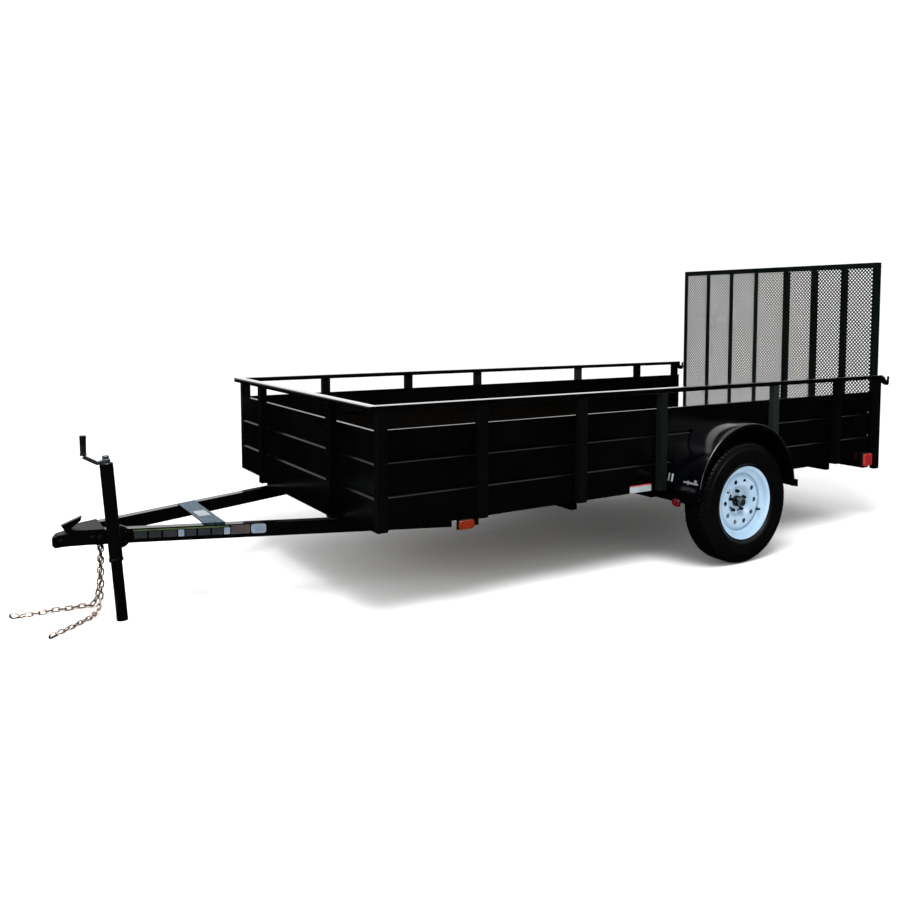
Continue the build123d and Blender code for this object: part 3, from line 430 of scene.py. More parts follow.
# %% Treated pine
def treated_pine(pitch):
    """Pine boards along X: grain stretched 30 times, wavy rings, and a tone for each board by its y."""
    material, tree, shader = start_material("treated_pine", {"IOR": 1.5, "Specular IOR Level": 0.15})
    where = place(tree, scale=(1 / 30, 1.0, 1.0))
    warp = add_node(tree, "TexNoise", {"Scale": 1 / 0.05, "Detail": 3.0}, {"Vector": where})
    bent = add_node(tree, "VectorMath", {"Scale": 0.03}, {0: warp.outputs["Color"]}, operation="SCALE")
    moved = add_node(tree, "VectorMath", links={0: where, 1: bent.outputs[0]}, operation="ADD")
    rings = add_node(tree, "TexWave", {"Scale": 9.0, "Distortion": 3.5, "Detail": 3.0},
                     {"Vector": moved.outputs[0]}, bands_direction="Y")
    split = add_node(tree, "SeparateXYZ", links={"Vector": place(tree, scale=(1, 1 / pitch, 1))})
    board = add_node(tree, "Math", {1: 0.5}, {0: split.outputs["Y"]}, operation="ADD")
    number = add_node(tree, "Math", links={0: board.outputs[0]}, operation="FLOOR")
    tone = add_node(tree, "TexWhiteNoise", links={"W": number.outputs[0]}, noise_dimensions="1D")
    wood = blend_ramp(tree, rings.outputs["Fac"], ((0.1, "#3f3322"), (0.6, "#54452e"), (0.95, "#33291a")))
    dull = add_node(tree, "MapRange", {"To Min": 0.72, "To Max": 1.05}, {"Value": tone.outputs["Value"]})
    shade = add_node(tree, "VectorMath", links={0: wood, "Scale": dull.outputs["Result"]}, operation="SCALE")
    tree.links.new(shade.outputs[0], shader.inputs["Base Color"])
    roughen(tree, shader, rings.outputs["Fac"], 0.6, 0.75)
    raise_surface(tree, shader, rings.outputs["Fac"], 0.6 * MM, 0.5)
    return material


BOARDS = 9
deck_low, deck_high = corners("deck_boards")
board_pitch = (deck_high[1] - deck_low[1]) / BOARDS
pine = treated_pine(board_pitch)


# %% [markdown]
# ## Lenses and labels
# The lamps are moulded acrylic with small prisms inside, which break up the light. The labels are
# printed vinyl, and stay blank here: plain fields of colour with a satin film over them.


# %% Lens and label materials
def lens(name, deep, bright):
    """Acrylic lens: clear gloss over prisms of 5 mm that lighten and darken the colour."""
    material, tree, shader = start_material(name, {
        "IOR": 1.49, "Roughness": 0.12, "Coat Weight": 0.6, "Coat Roughness": 0.04,
        "Transmission Weight": 0.15})
    prisms = add_node(tree, "TexVoronoi", {"Scale": 1 / (5 * MM), "Randomness": 0.15},
                      {"Vector": place(tree)})
    tint(tree, shader, prisms.outputs["Distance"], (0.1, bright), (0.6, deep))
    raise_surface(tree, shader, prisms.outputs["Distance"], 0.4 * MM, 0.4)
    return material


def vinyl(name, swatch, faded):
    """Printed vinyl film: an even colour with a soft fade over 60 mm and a satin surface."""
    material, tree, shader = start_material(name, {"IOR": 1.5, "Specular IOR Level": 0.4})
    fade = add_node(tree, "TexNoise", {"Scale": 1 / 0.06, "Detail": 2.0}, {"Vector": place(tree)})
    tint(tree, shader, fade.outputs["Fac"], (0.3, swatch), (0.7, faded))
    roughen(tree, shader, fade.outputs["Fac"], 0.32, 0.45)
    return material


red_lens = lens("red_acrylic_lens", "#861a1e", "#db4a45")
amber_lens = lens("amber_acrylic_lens", "#5d1709", "#a53d1b")
marker_lens = lens("dark_red_acrylic_lens", "#3a070c", "#7a131d")
white_vinyl = vinyl("white_vinyl", "#7e878d", "#949ea3")
pale_vinyl = vinyl("pale_blue_vinyl", "#55626e", "#6b7885")
grey_vinyl = vinyl("grey_vinyl", "#16191d", "#20262b")
brown_vinyl = vinyl("brown_grey_vinyl", "#2c2827", "#3b3533")
lime_vinyl = vinyl("yellow_green_vinyl", "#2d391f", "#40502d")
red_vinyl = vinyl("red_vinyl", "#8c2f33", "#a8494b")
print("materials:", len(bpy.data.materials))

# %% [markdown]
# ## Finishes for the CAD solids
# Most of the trailer is plate, tube and angle, and the CAD solids already have the right shape.
# They only need the finish that the real pieces have.

# %% Finish the CAD nodes
FINISHES = {
    black_gloss: (
        "tongue_beams", "coupler_latch", "jack_bracket", "jack_tube", "jack_ram", "chain_anchor",
        "springs", "spring_hangers", "axle_clamps", "gate_latches", "gate_hinge_pins", "left_hub", "right_hub"),
    black_wall: (
        "frame_rails", "front_sill", "rear_sill", "cross_members", "left_wall", "right_wall", "front_wall",
        "front_posts", "fender_bars", "axle", "lamp_brackets"),
    black_coupler: ("coupler",),
    black_rail: ("front_top_rail", "side_top_rails"),
    black_fender: ("left_fender", "right_fender"),
    black_satin_painted_reflection: ("side_posts",),
    black_gate: ("gate_frame", "gate_uprights", "gate_mesh", "gate_hinge_sleeves"),
    galvanised: ("tongue_plate",),
    worn_zinc: ("jack_crank",),
    yellow_zinc: ("left_chain", "right_chain", "chain_hooks"),
    rubber: ("left_tyre", "right_tyre"),
    enamel: ("left_rim", "right_rim"),
    pine: ("deck_boards",),
    plastic: ("jack_grip",),
    red_lens: ("tail_lamps",),
    marker_lens: ("red_markers",),
    amber_lens: ("amber_markers",),
}
for material, names in FINISHES.items():
    for name in names:
        mesh = nodes[name].data
        mesh.materials.clear()
        mesh.materials.append(material)
print("finished nodes:", sum(len(names) for names in FINISHES.values()))

# %% [markdown]
# ## Tyres
# A tyre is one profile turned round the axle. The tread blocks repeat 72 times round the wheel, so
# the angle runs in short steps at each groove's edge and long steps between, and the radius dips
# where a groove is. The sidewall has raised rings where the bead and the shoulder are.

# %% Tyre profile and tread
GROOVE_DEPTH = 7.5 * MM
PITCHES = 72
# where the straight grooves lie and where the slots end, out from the middle plane, in millimetres
INNER_GROOVE, OUTER_GROOVE, SLOT_END = (11.7, 17.7), (34.3, 40.3), 74
# the tread pattern fades in from this radius, over this height
TREAD_STARTS, TREAD_FADE = 320 * MM, 12 * MM
# half of the profile: distance out from the middle plane and radius, in millimetres
TYRE_HALF = in_mm(
    (0.0, 343.5), (11.4, 343.5), (12.0, 343.5), (17.4, 343.5), (18.0, 343.5), (26.0, 343.5),
    (34.0, 343.4), (34.6, 343.4), (40.0, 343.3), (40.6, 343.3), (47.0, 343.0), (54.0, 342.2),
    (61.0, 339.6), (67.0, 335.4), (72.0, 330.8), (74.0, 327.0), (76.0, 320.0), (79.5, 310.0),
    (82.0, 304.0), (83.6, 303.0), (85.2, 298.0), (87.2, 286.0), (88.6, 272.0), (88.8, 258.0),
    (87.6, 246.0), (86.0, 238.0), (86.2, 236.6), (85.0, 231.0), (82.4, 226.0), (78.0, 220.8),
    (73.0, 216.6), (68.0, 213.2), (64.0, 209.0), (62.0, 203.0), (61.2, 196.0))


def tread_dip(out, angle):
    """How deep a point lies in a groove: two straight grooves each side, and slots across the blocks."""
    place_in_pitch = (angle * PITCHES / (2 * math.pi)) % 1.0
    across = np.abs(out) / MM
    straight = (((across > INNER_GROOVE[0]) & (across < INNER_GROOVE[1]))
                | ((across > OUTER_GROOVE[0]) & (across < OUTER_GROOVE[1])))
    shoulder_shift = np.where(across > sum(OUTER_GROOVE) / 2, 0.5, 0.0)
    phase = (place_in_pitch + shoulder_shift) % 1.0
    slot = (phase < 0.16) & (across > INNER_GROOVE[1]) & (across < SLOT_END)
    sipe = (np.abs(phase - 0.58) < 0.035) & (across > OUTER_GROOVE[1]) & (across < SLOT_END - 2)
    middle = (phase < 0.07) & (across < INNER_GROOVE[0])
    return np.where(straight | slot, 1.0, np.where(sipe | middle, 0.6, 0.0))


def tyre_points(side):
    """Grid of (angle, profile): radius = profile - depth x dip, placed round the axle."""
    # a short step on each side of every groove's edge, in shares of one pitch
    steps = np.array((0.0, 0.069, 0.071, 0.159, 0.161, 0.3, 0.5, 0.544, 0.546, 0.614, 0.616, 0.8))
    shoulder_steps = np.array((0.569, 0.571, 0.659, 0.661))
    sipe_steps = (steps[7:11] + 0.5) % 1.0
    within = np.unique(np.concatenate([steps, shoulder_steps, sipe_steps]))
    angle = ((np.arange(PITCHES)[:, None] + within[None]) * 2 * math.pi / PITCHES).ravel()
    profile = np.concatenate([TYRE_HALF[::-1] * (-1, 1), TYRE_HALF[1:]])
    out, radius = profile[None, :, 0], profile[None, :, 1]
    fade = np.clip((radius - TREAD_STARTS) / TREAD_FADE, 0, 1)
    surface = radius - GROOVE_DEPTH * fade * tread_dip(out + 0 * angle[:, None], angle[:, None])
    return np.stack([
        axle_x + surface * np.cos(angle)[:, None], side * wheel_y + out + 0 * surface,
        axle_z + surface * np.sin(angle)[:, None]], axis=-1)


for name, side in SIDES:
    tyre = add_piece(name + "_tyre_tread", [(tyre_points(side), True, False)], rubber, name + "_wheel",
                     smooth=35, replaces=(name + "_tyre",))
print("tyre faces:", len(tyre.data.polygons))

# %% [markdown]
# ## Hubs
# A hub is a turned casting behind the wheel's disc, with a pressed grease cap in its middle. Five
# studs with hexagon nuts hold the disc, and a rubber valve stem leans out of it. All are turned
# shapes, so each is one profile carried round an axis.

# %% Hubs, nuts and valve stems
# profiles of (distance out from the wheel's middle plane, radius), in millimetres
HUB = in_mm(
    (-68.0, 0.0), (-68.0, 34.0), (-65.0, 38.0), (-14.0, 38.0), (-10.0, 42.0), (-10.0, 69.0), (-8.5, 70.0),
    (-1.5, 70.0), (-0.3, 68.5), (-0.3, 31.0), (33.0, 31.0), (36.0, 29.0), (36.0, 0.0))
GREASE_CAP = in_mm(
    (34.0, 0.0), (34.0, 26.0), (37.0, 26.0), (38.0, 24.6), (50.0, 24.0), (54.5, 22.4), (57.0, 18.0),
    (58.0, 8.0), (58.0, 0.0))
STUDS, STUD_RING, DISC_FACE = 5, 57.15 * MM, 4.2 * MM
STUD = in_mm((0, 0), (0, 6.3), (21, 6.3), (22, 0))
NUT_RADIUS, NUT_HEIGHT = 10.5 * MM, 15 * MM
VALVE_RING, VALVE_FOOT, VALVE_ANGLE = 160 * MM, 24 * MM, math.radians(-22)
VALVE_STEM = in_mm((0, 0), (0, 8.5), (4, 8.5), (8, 6.5), (24, 5.8), (25, 6.2), (36, 6.2), (37, 5), (37, 0))


def spoke(angle):
    """The unit vector at an angle round the axle: (cos t, 0, sin t)."""
    return np.array((math.cos(angle), 0, math.sin(angle)))


for name, side in SIDES:
    middle = np.array((axle_x, side * wheel_y, axle_z))
    out = np.array((0.0, side, 0.0))
    body = name + "_wheel"
    castings, nuts = [turned(HUB, middle, out, (1, 0, 0))], []
    for step in range(STUDS):
        around = spoke(math.radians(90 + 360 / STUDS * step))
        foot = middle + around * STUD_RING + out * DISC_FACE
        castings.append(turned(STUD, foot, out, around, 12))
        nuts += bolt(foot, out, NUT_RADIUS, NUT_HEIGHT, washer=1.02)
    add_piece(name + "_hub_casting", castings, black_gloss, body, replaces=(name + "_hub",))
    add_piece(name + "_grease_cap", [turned(GREASE_CAP, middle, out, (1, 0, 0))], dull_zinc, body)
    add_piece(name + "_wheel_nuts", nuts, black_gloss, body)
    around = spoke(VALVE_ANGLE)
    foot = middle + around * VALVE_RING + out * VALVE_FOOT
    lean = out * 0.9 - around * 0.35
    add_piece(name + "_valve_stem", [turned(VALVE_STEM, foot, lean, (0.2, 0.1, 1), 16)], rubber, body)
print("nuts on each hub:", STUDS)

# %% [markdown]
# ## Safety chains
# Each link is round wire bent to two half circles and two straight sides. Links stand a quarter
# turn from each other and sit where the solid model's links sit: one pitch apart along a route
# from the anchor's pin to the ground. A hook of tapering wire ends each chain. A link is one grid
# that wraps both ways, and placing it by a short loop keeps the chain's real count of links.

# %% Chain routes
LINK_PITCH, LINK_WIRE, LINK_WIDTH, LINK_STRAIGHT = 28 * MM, 6.4 * MM, 23 * MM, 8.7 * MM
TWIST_LINKS = 8
# heights in millimetres: a link that lies on the ground, and the first link under the anchor's pin
LAY = LINK_WIDTH / 2 / MM + 0.4
PIN = (corners("chain_anchor")[0][2] - frame_base) / MM + 4.8
FIRST = PIN + 4.4 + frame_base / MM
# name, twist in degrees, and the route: ahead of the front wall, out from the centre line, above the ground
ROUTES = (
    ("left", 0.0, (
        (955.0, -19.0, FIRST), (956.0, -19.5, 230.0), (958.0, -21.0, 120.0), (966.0, -28.0, 45.0),
        (988.0, -67.0, LAY), (1023.0, -132.0, LAY), (1064.0, -170.0, LAY), (1102.0, -210.0, LAY),
        (1132.0, -234.0, LAY), (1168.0, -266.0, LAY))),
    ("right", 45.0, (
        (955.0, 19.0, FIRST), (957.0, 20.0, 220.0), (961.0, 24.0, 130.0), (971.0, 36.0, 48.0),
        (990.0, 42.0, LAY), (1037.0, 65.0, LAY), (1095.0, 57.0, LAY), (1149.0, 75.0, LAY),
        (1193.0, 63.0, LAY), (1230.0, 66.0, LAY), (1275.0, 70.0, LAY))),
)


def route_joints(route):
    """Points one pitch apart along the route's straight runs."""
    points = np.array([(bed_front - a * MM, b * MM, c * MM) for a, b, c in route])
    along = np.concatenate([[0], np.cumsum(np.linalg.norm(np.diff(points, axis=0), axis=1))])
    steps = np.arange(int(along[-1] / LINK_PITCH) + 1) * LINK_PITCH
    return np.stack([np.interp(steps, along, points[:, k]) for k in range(3)], axis=-1)


# %% Links
def link_grid(middle, along, side):
    """Round wire round a stadium: two straight runs of 17.4 mm joined by half circles of 8.3 mm."""
    radius = (LINK_WIDTH - LINK_WIRE) / 2
    bend = np.linspace(-math.pi / 2, math.pi / 2, 8)
    right_end = np.stack([LINK_STRAIGHT + radius * np.cos(bend), radius * np.sin(bend)], axis=-1)
    loop = np.concatenate([right_end, -right_end])
    path = middle + loop[:, :1] * along + loop[:, 1:] * side
    tangent = np.roll(path, -1, axis=0) - np.roll(path, 1, axis=0)
    tangent /= np.linalg.norm(tangent, axis=1, keepdims=True)
    lift = np.cross(along, side)
    outward = np.cross(tangent, lift)
    section = ring_profile(LINK_WIRE / 2, 8)
    return path[:, None] + outward[:, None] * section[None, :, :1] + lift * section[None, :, 1:]


def chain_links(joints, twist):
    """A link between each two joints, each a quarter turn on, with the twist spread over the first ones."""
    side = np.array((0.0, 1.0, 0.0))
    links = []
    for count, (start, end) in enumerate(zip(joints, joints[1:])):
        along = (end - start) / np.linalg.norm(end - start)
        side = side - along * (side @ along)
        side /= np.linalg.norm(side)
        lift = np.cross(along, side)
        turn = math.radians(90 * (count % 2) + twist * min(1.0, count / TWIST_LINKS))
        normal = side * math.cos(turn) + lift * math.sin(turn)
        links.append((link_grid((start + end) / 2, along, np.cross(normal, along)), True, True))
    return links


# %% Hooks and chains
HOOK_WIRE, HOOK_TAIL, HOOK_BEND = 9 * MM, 45.9 * MM, 14.4 * MM
EYE_RADIUS, EYE_WIRE, EYE_HEIGHT = 8.5 * MM, 5.2 * MM, 5.6 * MM


def safety_hook(last_joint, ahead):
    """A hook on the ground: a shank and 200 degrees of a thinning circle, an eye and a flat keeper."""
    level_aside = np.array((-ahead[1], ahead[0], 0)) * np.sign(ahead[0]) * -1
    aside = level_aside * 0.45 + np.array((0, 0, 0.893))
    across = np.cross(ahead, aside)
    eye = last_joint * (1, 1, 0) + np.array((0, 0, EYE_HEIGHT))
    t = np.linspace(0, math.radians(200), 22)
    bend = (eye + ahead * HOOK_TAIL + aside * HOOK_BEND
            + HOOK_BEND * (np.sin(t)[:, None] * ahead - np.cos(t)[:, None] * aside))
    shank = eye + np.linspace(12 * MM, HOOK_TAIL, 8, endpoint=False)[:, None] * ahead
    path = np.concatenate([shank, bend])
    taper = np.concatenate([np.full(16, 1.0), np.linspace(1.0, 0.45, len(path) - 16)])
    wire = closed(sweep(path, ring_profile(HOOK_WIRE / 2 - 0.1 * MM, 12), across, taper))
    t = np.linspace(0, 2 * math.pi, 20, endpoint=False)
    centre = eye + ahead * 8 * MM + np.array((0, 0, 4 * MM))
    ring = centre + EYE_RADIUS * (np.cos(t)[:, None] * ahead + np.sin(t)[:, None] * np.array((0, 0, 1)) * 0.7)
    section = ring_profile(EYE_WIRE / 2, 8)
    outward = (ring - centre) / np.linalg.norm(ring - centre, axis=1, keepdims=True)
    ring = ring[:, None] + outward[:, None] * section[None, :, :1] + aside * section[None, :, 1:]
    keeper = np.linspace(eye + ahead * 20 * MM + aside * 5 * MM, bend[-1] - ahead * 2 * MM, 6)
    keeper = closed(sweep(keeper, round_bar(2.4 * MM, 7 * MM, 0.8 * MM), across))
    return [wire, (ring, True, True), keeper]


hooks = []
for name, twist, route in ROUTES:
    joints = route_joints(route)
    links = chain_links(joints, twist)
    add_piece(name + "_chain_links", links, yellow_zinc, replaces=(name + "_chain",))
    print(name, "chain:", len(links), "links")
    ahead = (joints[-1] - joints[-2]) * (1, 1, 0)
    hooks += safety_hook(joints[-1], ahead / np.linalg.norm(ahead))
add_piece("safety_hooks", hooks, yellow_zinc, replaces=("chain_hooks",))

# %% [markdown]
# ## Upper rails and fenders
# Drawn tube has round corners, and these catch the brightest line of light. The upper rails are
# such tubes with closed ends. A fender is one section carried round half a circle: a flat crown,
# a rolled outer edge and a lip, with a level foot at each end.

# %% Upper rails
side_low, side_high = corners("side_top_rails")
front_low, front_high = corners("front_top_rail")
RAIL_WIDE, RAIL_THICK, RAIL_ROUND = 50 * MM, 25 * MM, 1.8 * MM
rail_section = round_bar(RAIL_WIDE, RAIL_THICK, RAIL_ROUND)
rail_z = (side_low[2] + side_high[2]) / 2
tubes = []
for _, side in SIDES:
    y = side * (side_high[1] - RAIL_WIDE / 2)
    path = np.array([(x, y, rail_z) for x in np.linspace(side_low[0], side_high[0], 8)])
    tubes.append(closed(sweep(path, rail_section, (0, 0, 1))))
add_piece("side_rail_tubes", tubes, black_rail, replaces=("side_top_rails",))
path = np.array([((front_low[0] + front_high[0]) / 2, y, rail_z)
                 for y in np.linspace(front_low[1], front_high[1], 8)])
add_piece("front_rail_tube", [closed(sweep(path, rail_section, (0, 0, 1)))], black_rail,
          replaces=("front_top_rail",))
print("rails at", round(rail_z, 4))

# %% Fenders
fender_low, fender_high = corners("right_fender")
FENDER_RADIUS, FENDER_SHEET, ROLL_RADIUS, LIP = 392 * MM, 2.5 * MM, 9 * MM, 24 * MM
arch_z = fender_high[2] - FENDER_RADIUS
reach = fender_high[1] - fender_low[1]


def rolled_edge(bend, radius):
    """The quarter circle between crown and lip: (reach - roll + r cos t, -roll + r sin t)."""
    return np.stack([reach - ROLL_RADIUS + radius * np.cos(bend),
                     -ROLL_RADIUS + radius * np.sin(bend)], axis=-1)


bend = np.linspace(math.pi / 2, 0, 8)
section = np.concatenate([
    [(0.2 * MM, 0.0), (reach * 0.3, 0.0), (reach * 0.7, 0.0)],
    rolled_edge(bend, ROLL_RADIUS),
    [(reach, -LIP), (reach - FENDER_SHEET, -LIP)],
    rolled_edge(bend[::-1], ROLL_RADIUS - FENDER_SHEET),
    [(reach * 0.7, -FENDER_SHEET), (reach * 0.3, -FENDER_SHEET), (0.2 * MM, -FENDER_SHEET)]])
angle = np.linspace(0, math.pi, 73)[:, None]
radius = FENDER_RADIUS + section[None, :, 1]
arch_end = FENDER_RADIUS - FENDER_SHEET
for name, side in SIDES:
    across = side * (wall_y + section[None, :, 0]) + 0 * angle
    arch = np.stack([axle_x + radius * np.cos(angle), across, arch_z + radius * np.sin(angle)], axis=-1)
    sheets = [closed(arch)]
    low, high = corners(name + "_fender")
    for start, end in ((low[0], axle_x - arch_end), (axle_x + arch_end, high[0])):
        sheets.append(block((start, low[1], arch_z), (end, high[1], arch_z + FENDER_SHEET)))
    add_piece(name + "_fender_sheet", sheets, black_fender, smooth=40, replaces=(name + "_fender",))
print("fenders reach out", round(reach, 4))

# %% [markdown]
# ## Lamps
# Each lamp is a black base with a moulded lens on it. The side markers are small and rounded, and
# the tail lamps are nearly square. A rounded block makes both, and its power sets how round.

# %% Lamps
# material, roundness and depth out from the side; the red markers have none, as they face forward
LAMPS = {
    "amber_markers": (amber_lens, 5.0, 25 * MM),
    "red_markers": (marker_lens, 2.6, None),
    "tail_lamps": (red_lens, 9.0, 37 * MM),
}
MARKER_OUT, MARKER_HALF_WIDTH = 1.073, 32 * MM
for name, (lens_material, power, depth) in LAMPS.items():
    low, high = corners(name)
    lenses, bases = [], []
    for _, side in SIDES:
        if depth is None:
            length = high[0] - low[0]
            middle = np.array(((low[0] + high[0]) / 2, side * MARKER_OUT, (low[2] + high[2]) / 2))
            half = np.array((length / 2, MARKER_HALF_WIDTH, (high[2] - low[2]) / 2))
            base = middle + (length * 0.28, 0, 0), half * (0.42, 1.0, 1.0)
            front = middle - (length * 0.1, 0, 0), half * (0.8, 0.88, 0.84)
        else:
            middle = np.array(((low[0] + high[0]) / 2, side * (high[1] - depth / 2), (low[2] + high[2]) / 2))
            half = np.array(((high[0] - low[0]) / 2, depth / 2, (high[2] - low[2]) / 2))
            base = middle - (0, side * depth * 0.18, 0), half * (1.0, 0.64, 1.0)
            front = middle + (0, side * depth * 0.15, 0), half * (0.9, 0.7, 0.9)
        bases.append(pillow(*base, power))
        lenses.append(pillow(*front, power, 24, 48))
    add_piece(name + "_lenses", lenses, lens_material,
              replaces=(name,))
    add_piece(name + "_bases", bases, plastic)
print("lamps:", ", ".join(LAMPS))

# %% [markdown]
# ## Labels
# Vinyl labels sit on the left tongue beam's outer face in a row under a thin stripe, with one on
# the cross plate, one on the left side and two tags on the left fender's front. All are blank.
# Each is a thin plate with round corners, so that its edge stands proud as a film's does.

# %% Labels on the tongue beam
FILM = 0.5 * MM
BEAM_SLOPE, BEAM_HALF = 0.407, 503 * MM
beam_angle = math.atan(BEAM_SLOPE)
beam_axes = np.array((
    (-math.cos(beam_angle), math.sin(beam_angle), 0), (0, 0, 1),
    (-math.sin(beam_angle), -math.cos(beam_angle), 0)))
along_beam, beam_out = beam_axes[0], beam_axes[2]
# name: finish, then (start, end) along the beam from the front wall and (low, high) above the frame's
# underside, in millimetres, and the corner's radius
BEAM_LABELS = {
    "beam_stripe": (lime_vinyl, ((488, 908),), (-43, -36.5), 1.0),
    "beam_text_labels": (
        grey_vinyl, ((848, 904), (788, 840), (718, 779), (634, 683), (572, 626), (514, 564)), (-77, -46), 2.0),
    "beam_symbol_labels": (pale_vinyl, ((687, 713), (483, 510)), (-77, -45), 2.0),
    "beam_data_label": (brown_vinyl, ((393, 478),), (-78, -35), 3.0),
    "beam_round_label": (pale_vinyl, ((320, 388),), (-79, -34), 12.0),
}
for name, (finish, spans, (low, high), radius) in BEAM_LABELS.items():
    films = []
    for start, end in spans:
        middle = np.array((bed_front, -BEAM_HALF, frame_base + (low + high) / 2 * MM))
        middle = middle + along_beam * (start + end) / 2 * MM
        films.append(slab(middle, beam_axes, (end - start) / 2 * MM, (high - low) / 2 * MM, radius * MM, FILM))
    add_piece(name, films, finish, smooth=0)
print("blank labels on the beam:", sum(len(spans) for _, spans, _, _ in BEAM_LABELS.values()))

# %% Labels on the side, the cross plate and the fender
side_axes = np.array(((1, 0, 0), (0, 0, 1), (0, -1, 0)))
wall_face = np.array((0, -wall_y, frame_base))


def side_label(name, finish, behind, above, width, height):
    """A label on the left side: the middle's place behind the front wall and above the frame's underside."""
    middle = wall_face + (bed_front + behind * MM, 0, above * MM)
    film = slab(middle, side_axes, width / 2 * MM, height / 2 * MM, 2 * MM, FILM)
    add_piece(name, [film], finish, smooth=0)


side_label("side_plate_label", white_vinyl, 1572, 17, 156, 33)
side_label("side_plate_strip", red_vinyl, 1572, 37, 156, 7)
plate_low, plate_high = corners("tongue_plate")
plate_middle = ((plate_low[0] + plate_high[0]) / 2, -40 * MM, plate_high[2])
film = slab(plate_middle, np.eye(3), 28 * MM, 62 * MM, 3 * MM, FILM)
add_piece("cross_plate_label", [film], white_vinyl, smooth=0)
# the fender's front leans back as the arch does, 94 mm above its middle
climb = math.asin(94 * MM / FENDER_RADIUS)
front_axes = np.array((
    (0, -1, 0), (math.sin(climb), 0, math.cos(climb)), (-math.cos(climb), 0, math.sin(climb))))
front_out = front_axes[2]
films = []
for y in (-963 * MM, -990 * MM):
    middle = np.array((axle_x, y, arch_z)) + front_out * (FENDER_RADIUS + 0.3 * MM)
    films.append(slab(middle, front_axes, 6 * MM, 22 * MM, 2 * MM, FILM))
add_piece("fender_tags", films, white_vinyl, smooth=0)

# %% [markdown]
# ## Jack
# The jack's grip is moulded plastic with a collar at each end. A cap closes the tube, a lock nut
# holds the crank's arm, and a ring stiffens the tube's foot. Four bolts and a pull pin hold the
# swivel plate. The tube leans a little, so its parts are turned round one leaning axis.

# %% Jack profiles
# (along the axis, radius), in millimetres; the tube's profiles start at the swivel's axis
GRIP = in_mm(
    (0, 0), (0, 9), (0.5, 12), (3, 14), (8, 14), (10, 12.2), (40, 12.8), (78, 13.2), (81, 14), (86, 14),
    (89, 12), (90, 8), (90, 0))
CAP = in_mm((344, 0), (344, 27.6), (356, 27.4), (359, 25), (360, 18), (360, 0))
LOCK_NUT = in_mm((358, 0), (358, 18), (374, 18), (377, 14), (389, 14), (392, 11), (392, 0))
COLLAR = in_mm((-91.5, 27.5), (-91.5, 29.5), (-89, 30.5), (-80, 30.5), (-78, 29.5), (-78, 27.5))
PULL_PIN = in_mm((0, 0), (0, 8), (10, 8), (11, 5), (24, 5), (25, 9), (30, 9), (31, 7), (31, 0))
LEAN, ALONG_TONGUE = math.radians(3.9), 898.5 * MM
PIVOT_OUT, PLATE_FACE, ARM_HEIGHT = 84 * MM, 20.6 * MM, 368 * MM

# %% Jack pieces
grip_low, grip_high = corners("jack_grip")
grip_at = np.array((
    (grip_low[0] + grip_high[0]) / 2, (grip_low[1] + grip_high[1]) / 2, grip_low[2] + 14 * MM))
add_piece("jack_grip_moulded", [turned(GRIP, grip_at, (0, 0, 1), (1, 0, 0), 32)], plastic, "jack",
          replaces=("jack_grip",))
jack_up = np.array((-math.sin(LEAN), 0, math.cos(LEAN)))
plate_at = np.array((
    bed_front - ALONG_TONGUE, -(BEAM_HALF - BEAM_SLOPE * ALONG_TONGUE), frame_base - 63 * MM))
pivot = plate_at + beam_out * PIVOT_OUT
add_piece("jack_cap", [turned(CAP, pivot, jack_up, (0, 1, 0), 40)], black_wall, "jack")
start = pivot + jack_up * ARM_HEIGHT
low = start + np.array((-36 * MM, 0, -8 * MM))
arm = np.array([
    start, start * 0.5 + low * 0.5, low, low * 0.85 + grip_at * 0.15, low * 0.15 + grip_at * 0.85, grip_at])
arm[-2:, 2] -= 4 * MM
crank = [turned(LOCK_NUT, pivot, jack_up, (0, 1, 0), 24),
         closed(sweep(arm, round_bar(20 * MM, 17 * MM, 3 * MM), (0, 0, 1)))]
add_piece("jack_crank_arm", crank, worn_zinc, "jack", replaces=("jack_crank",))
add_piece("jack_tube_collar", [(turned(COLLAR, pivot, jack_up, (0, 1, 0), 40), True, True)], black_wall, "jack")
plate_face = plate_at + beam_out * PLATE_FACE
fasteners = []
for right_way, up_way in ((-34, -22), (34, -22), (-34, 22), (34, 22)):
    at = plate_face + along_beam * right_way * MM + np.array((0, 0, up_way * MM))
    fasteners += bolt(at, beam_out, 6 * MM, 7 * MM)
fasteners.append(turned(PULL_PIN, plate_face + np.array((0, 0, 40 * MM)), beam_out, (0, 0, 1), 20))
add_piece("jack_fasteners", fasteners, dark_zinc, "jack")
print("jack pivot at", pivot.round(4))

# %% [markdown]
# ## Small fasteners
# Screws hold each board to the cross-members, a nut sits on each U-bolt, rivets show on the sides,
# a strap with two bolts crosses each fender's front, and three bolts show on the coupler. Each is
# a turned shape of few faces, because it repeats often.

# %% Screws, nuts and rivets
CROSS_MEMBERS = (545, 1145, 1705, 2635, 3255)
screw = in_mm((0, 0), (0, 4.6), (0.9, 4), (1.2, 0))
screws = []
for count in range(BOARDS):
    y = deck_low[1] + board_pitch * (count + 0.5)
    for behind in CROSS_MEMBERS:
        for shift in (-0.25, 0.25):
            at = (bed_front + behind * MM, y + shift * board_pitch, deck_high[2] - 0.2 * MM)
            screws.append(turned(screw, at, (0, 0, 1), (1, 0, 0), 8))
add_piece("deck_screws", screws, zinc)
clamp_low = corners("axle_clamps")[0]
nuts = []
for _, side in SIDES:
    for end in (-1, 1):
        for across in (-1, 1):
            at = (axle_x + end * 36.5 * MM, side * 915 * MM + across * 28.5 * MM, clamp_low[2])
            nuts += bolt(at, (0, 0, -1), 9.5 * MM, 10 * MM)
add_piece("clamp_nuts", nuts, zinc)
rivet = in_mm((0, 0), (0, 6.5), (2, 5), (3, 0))
rivets = []
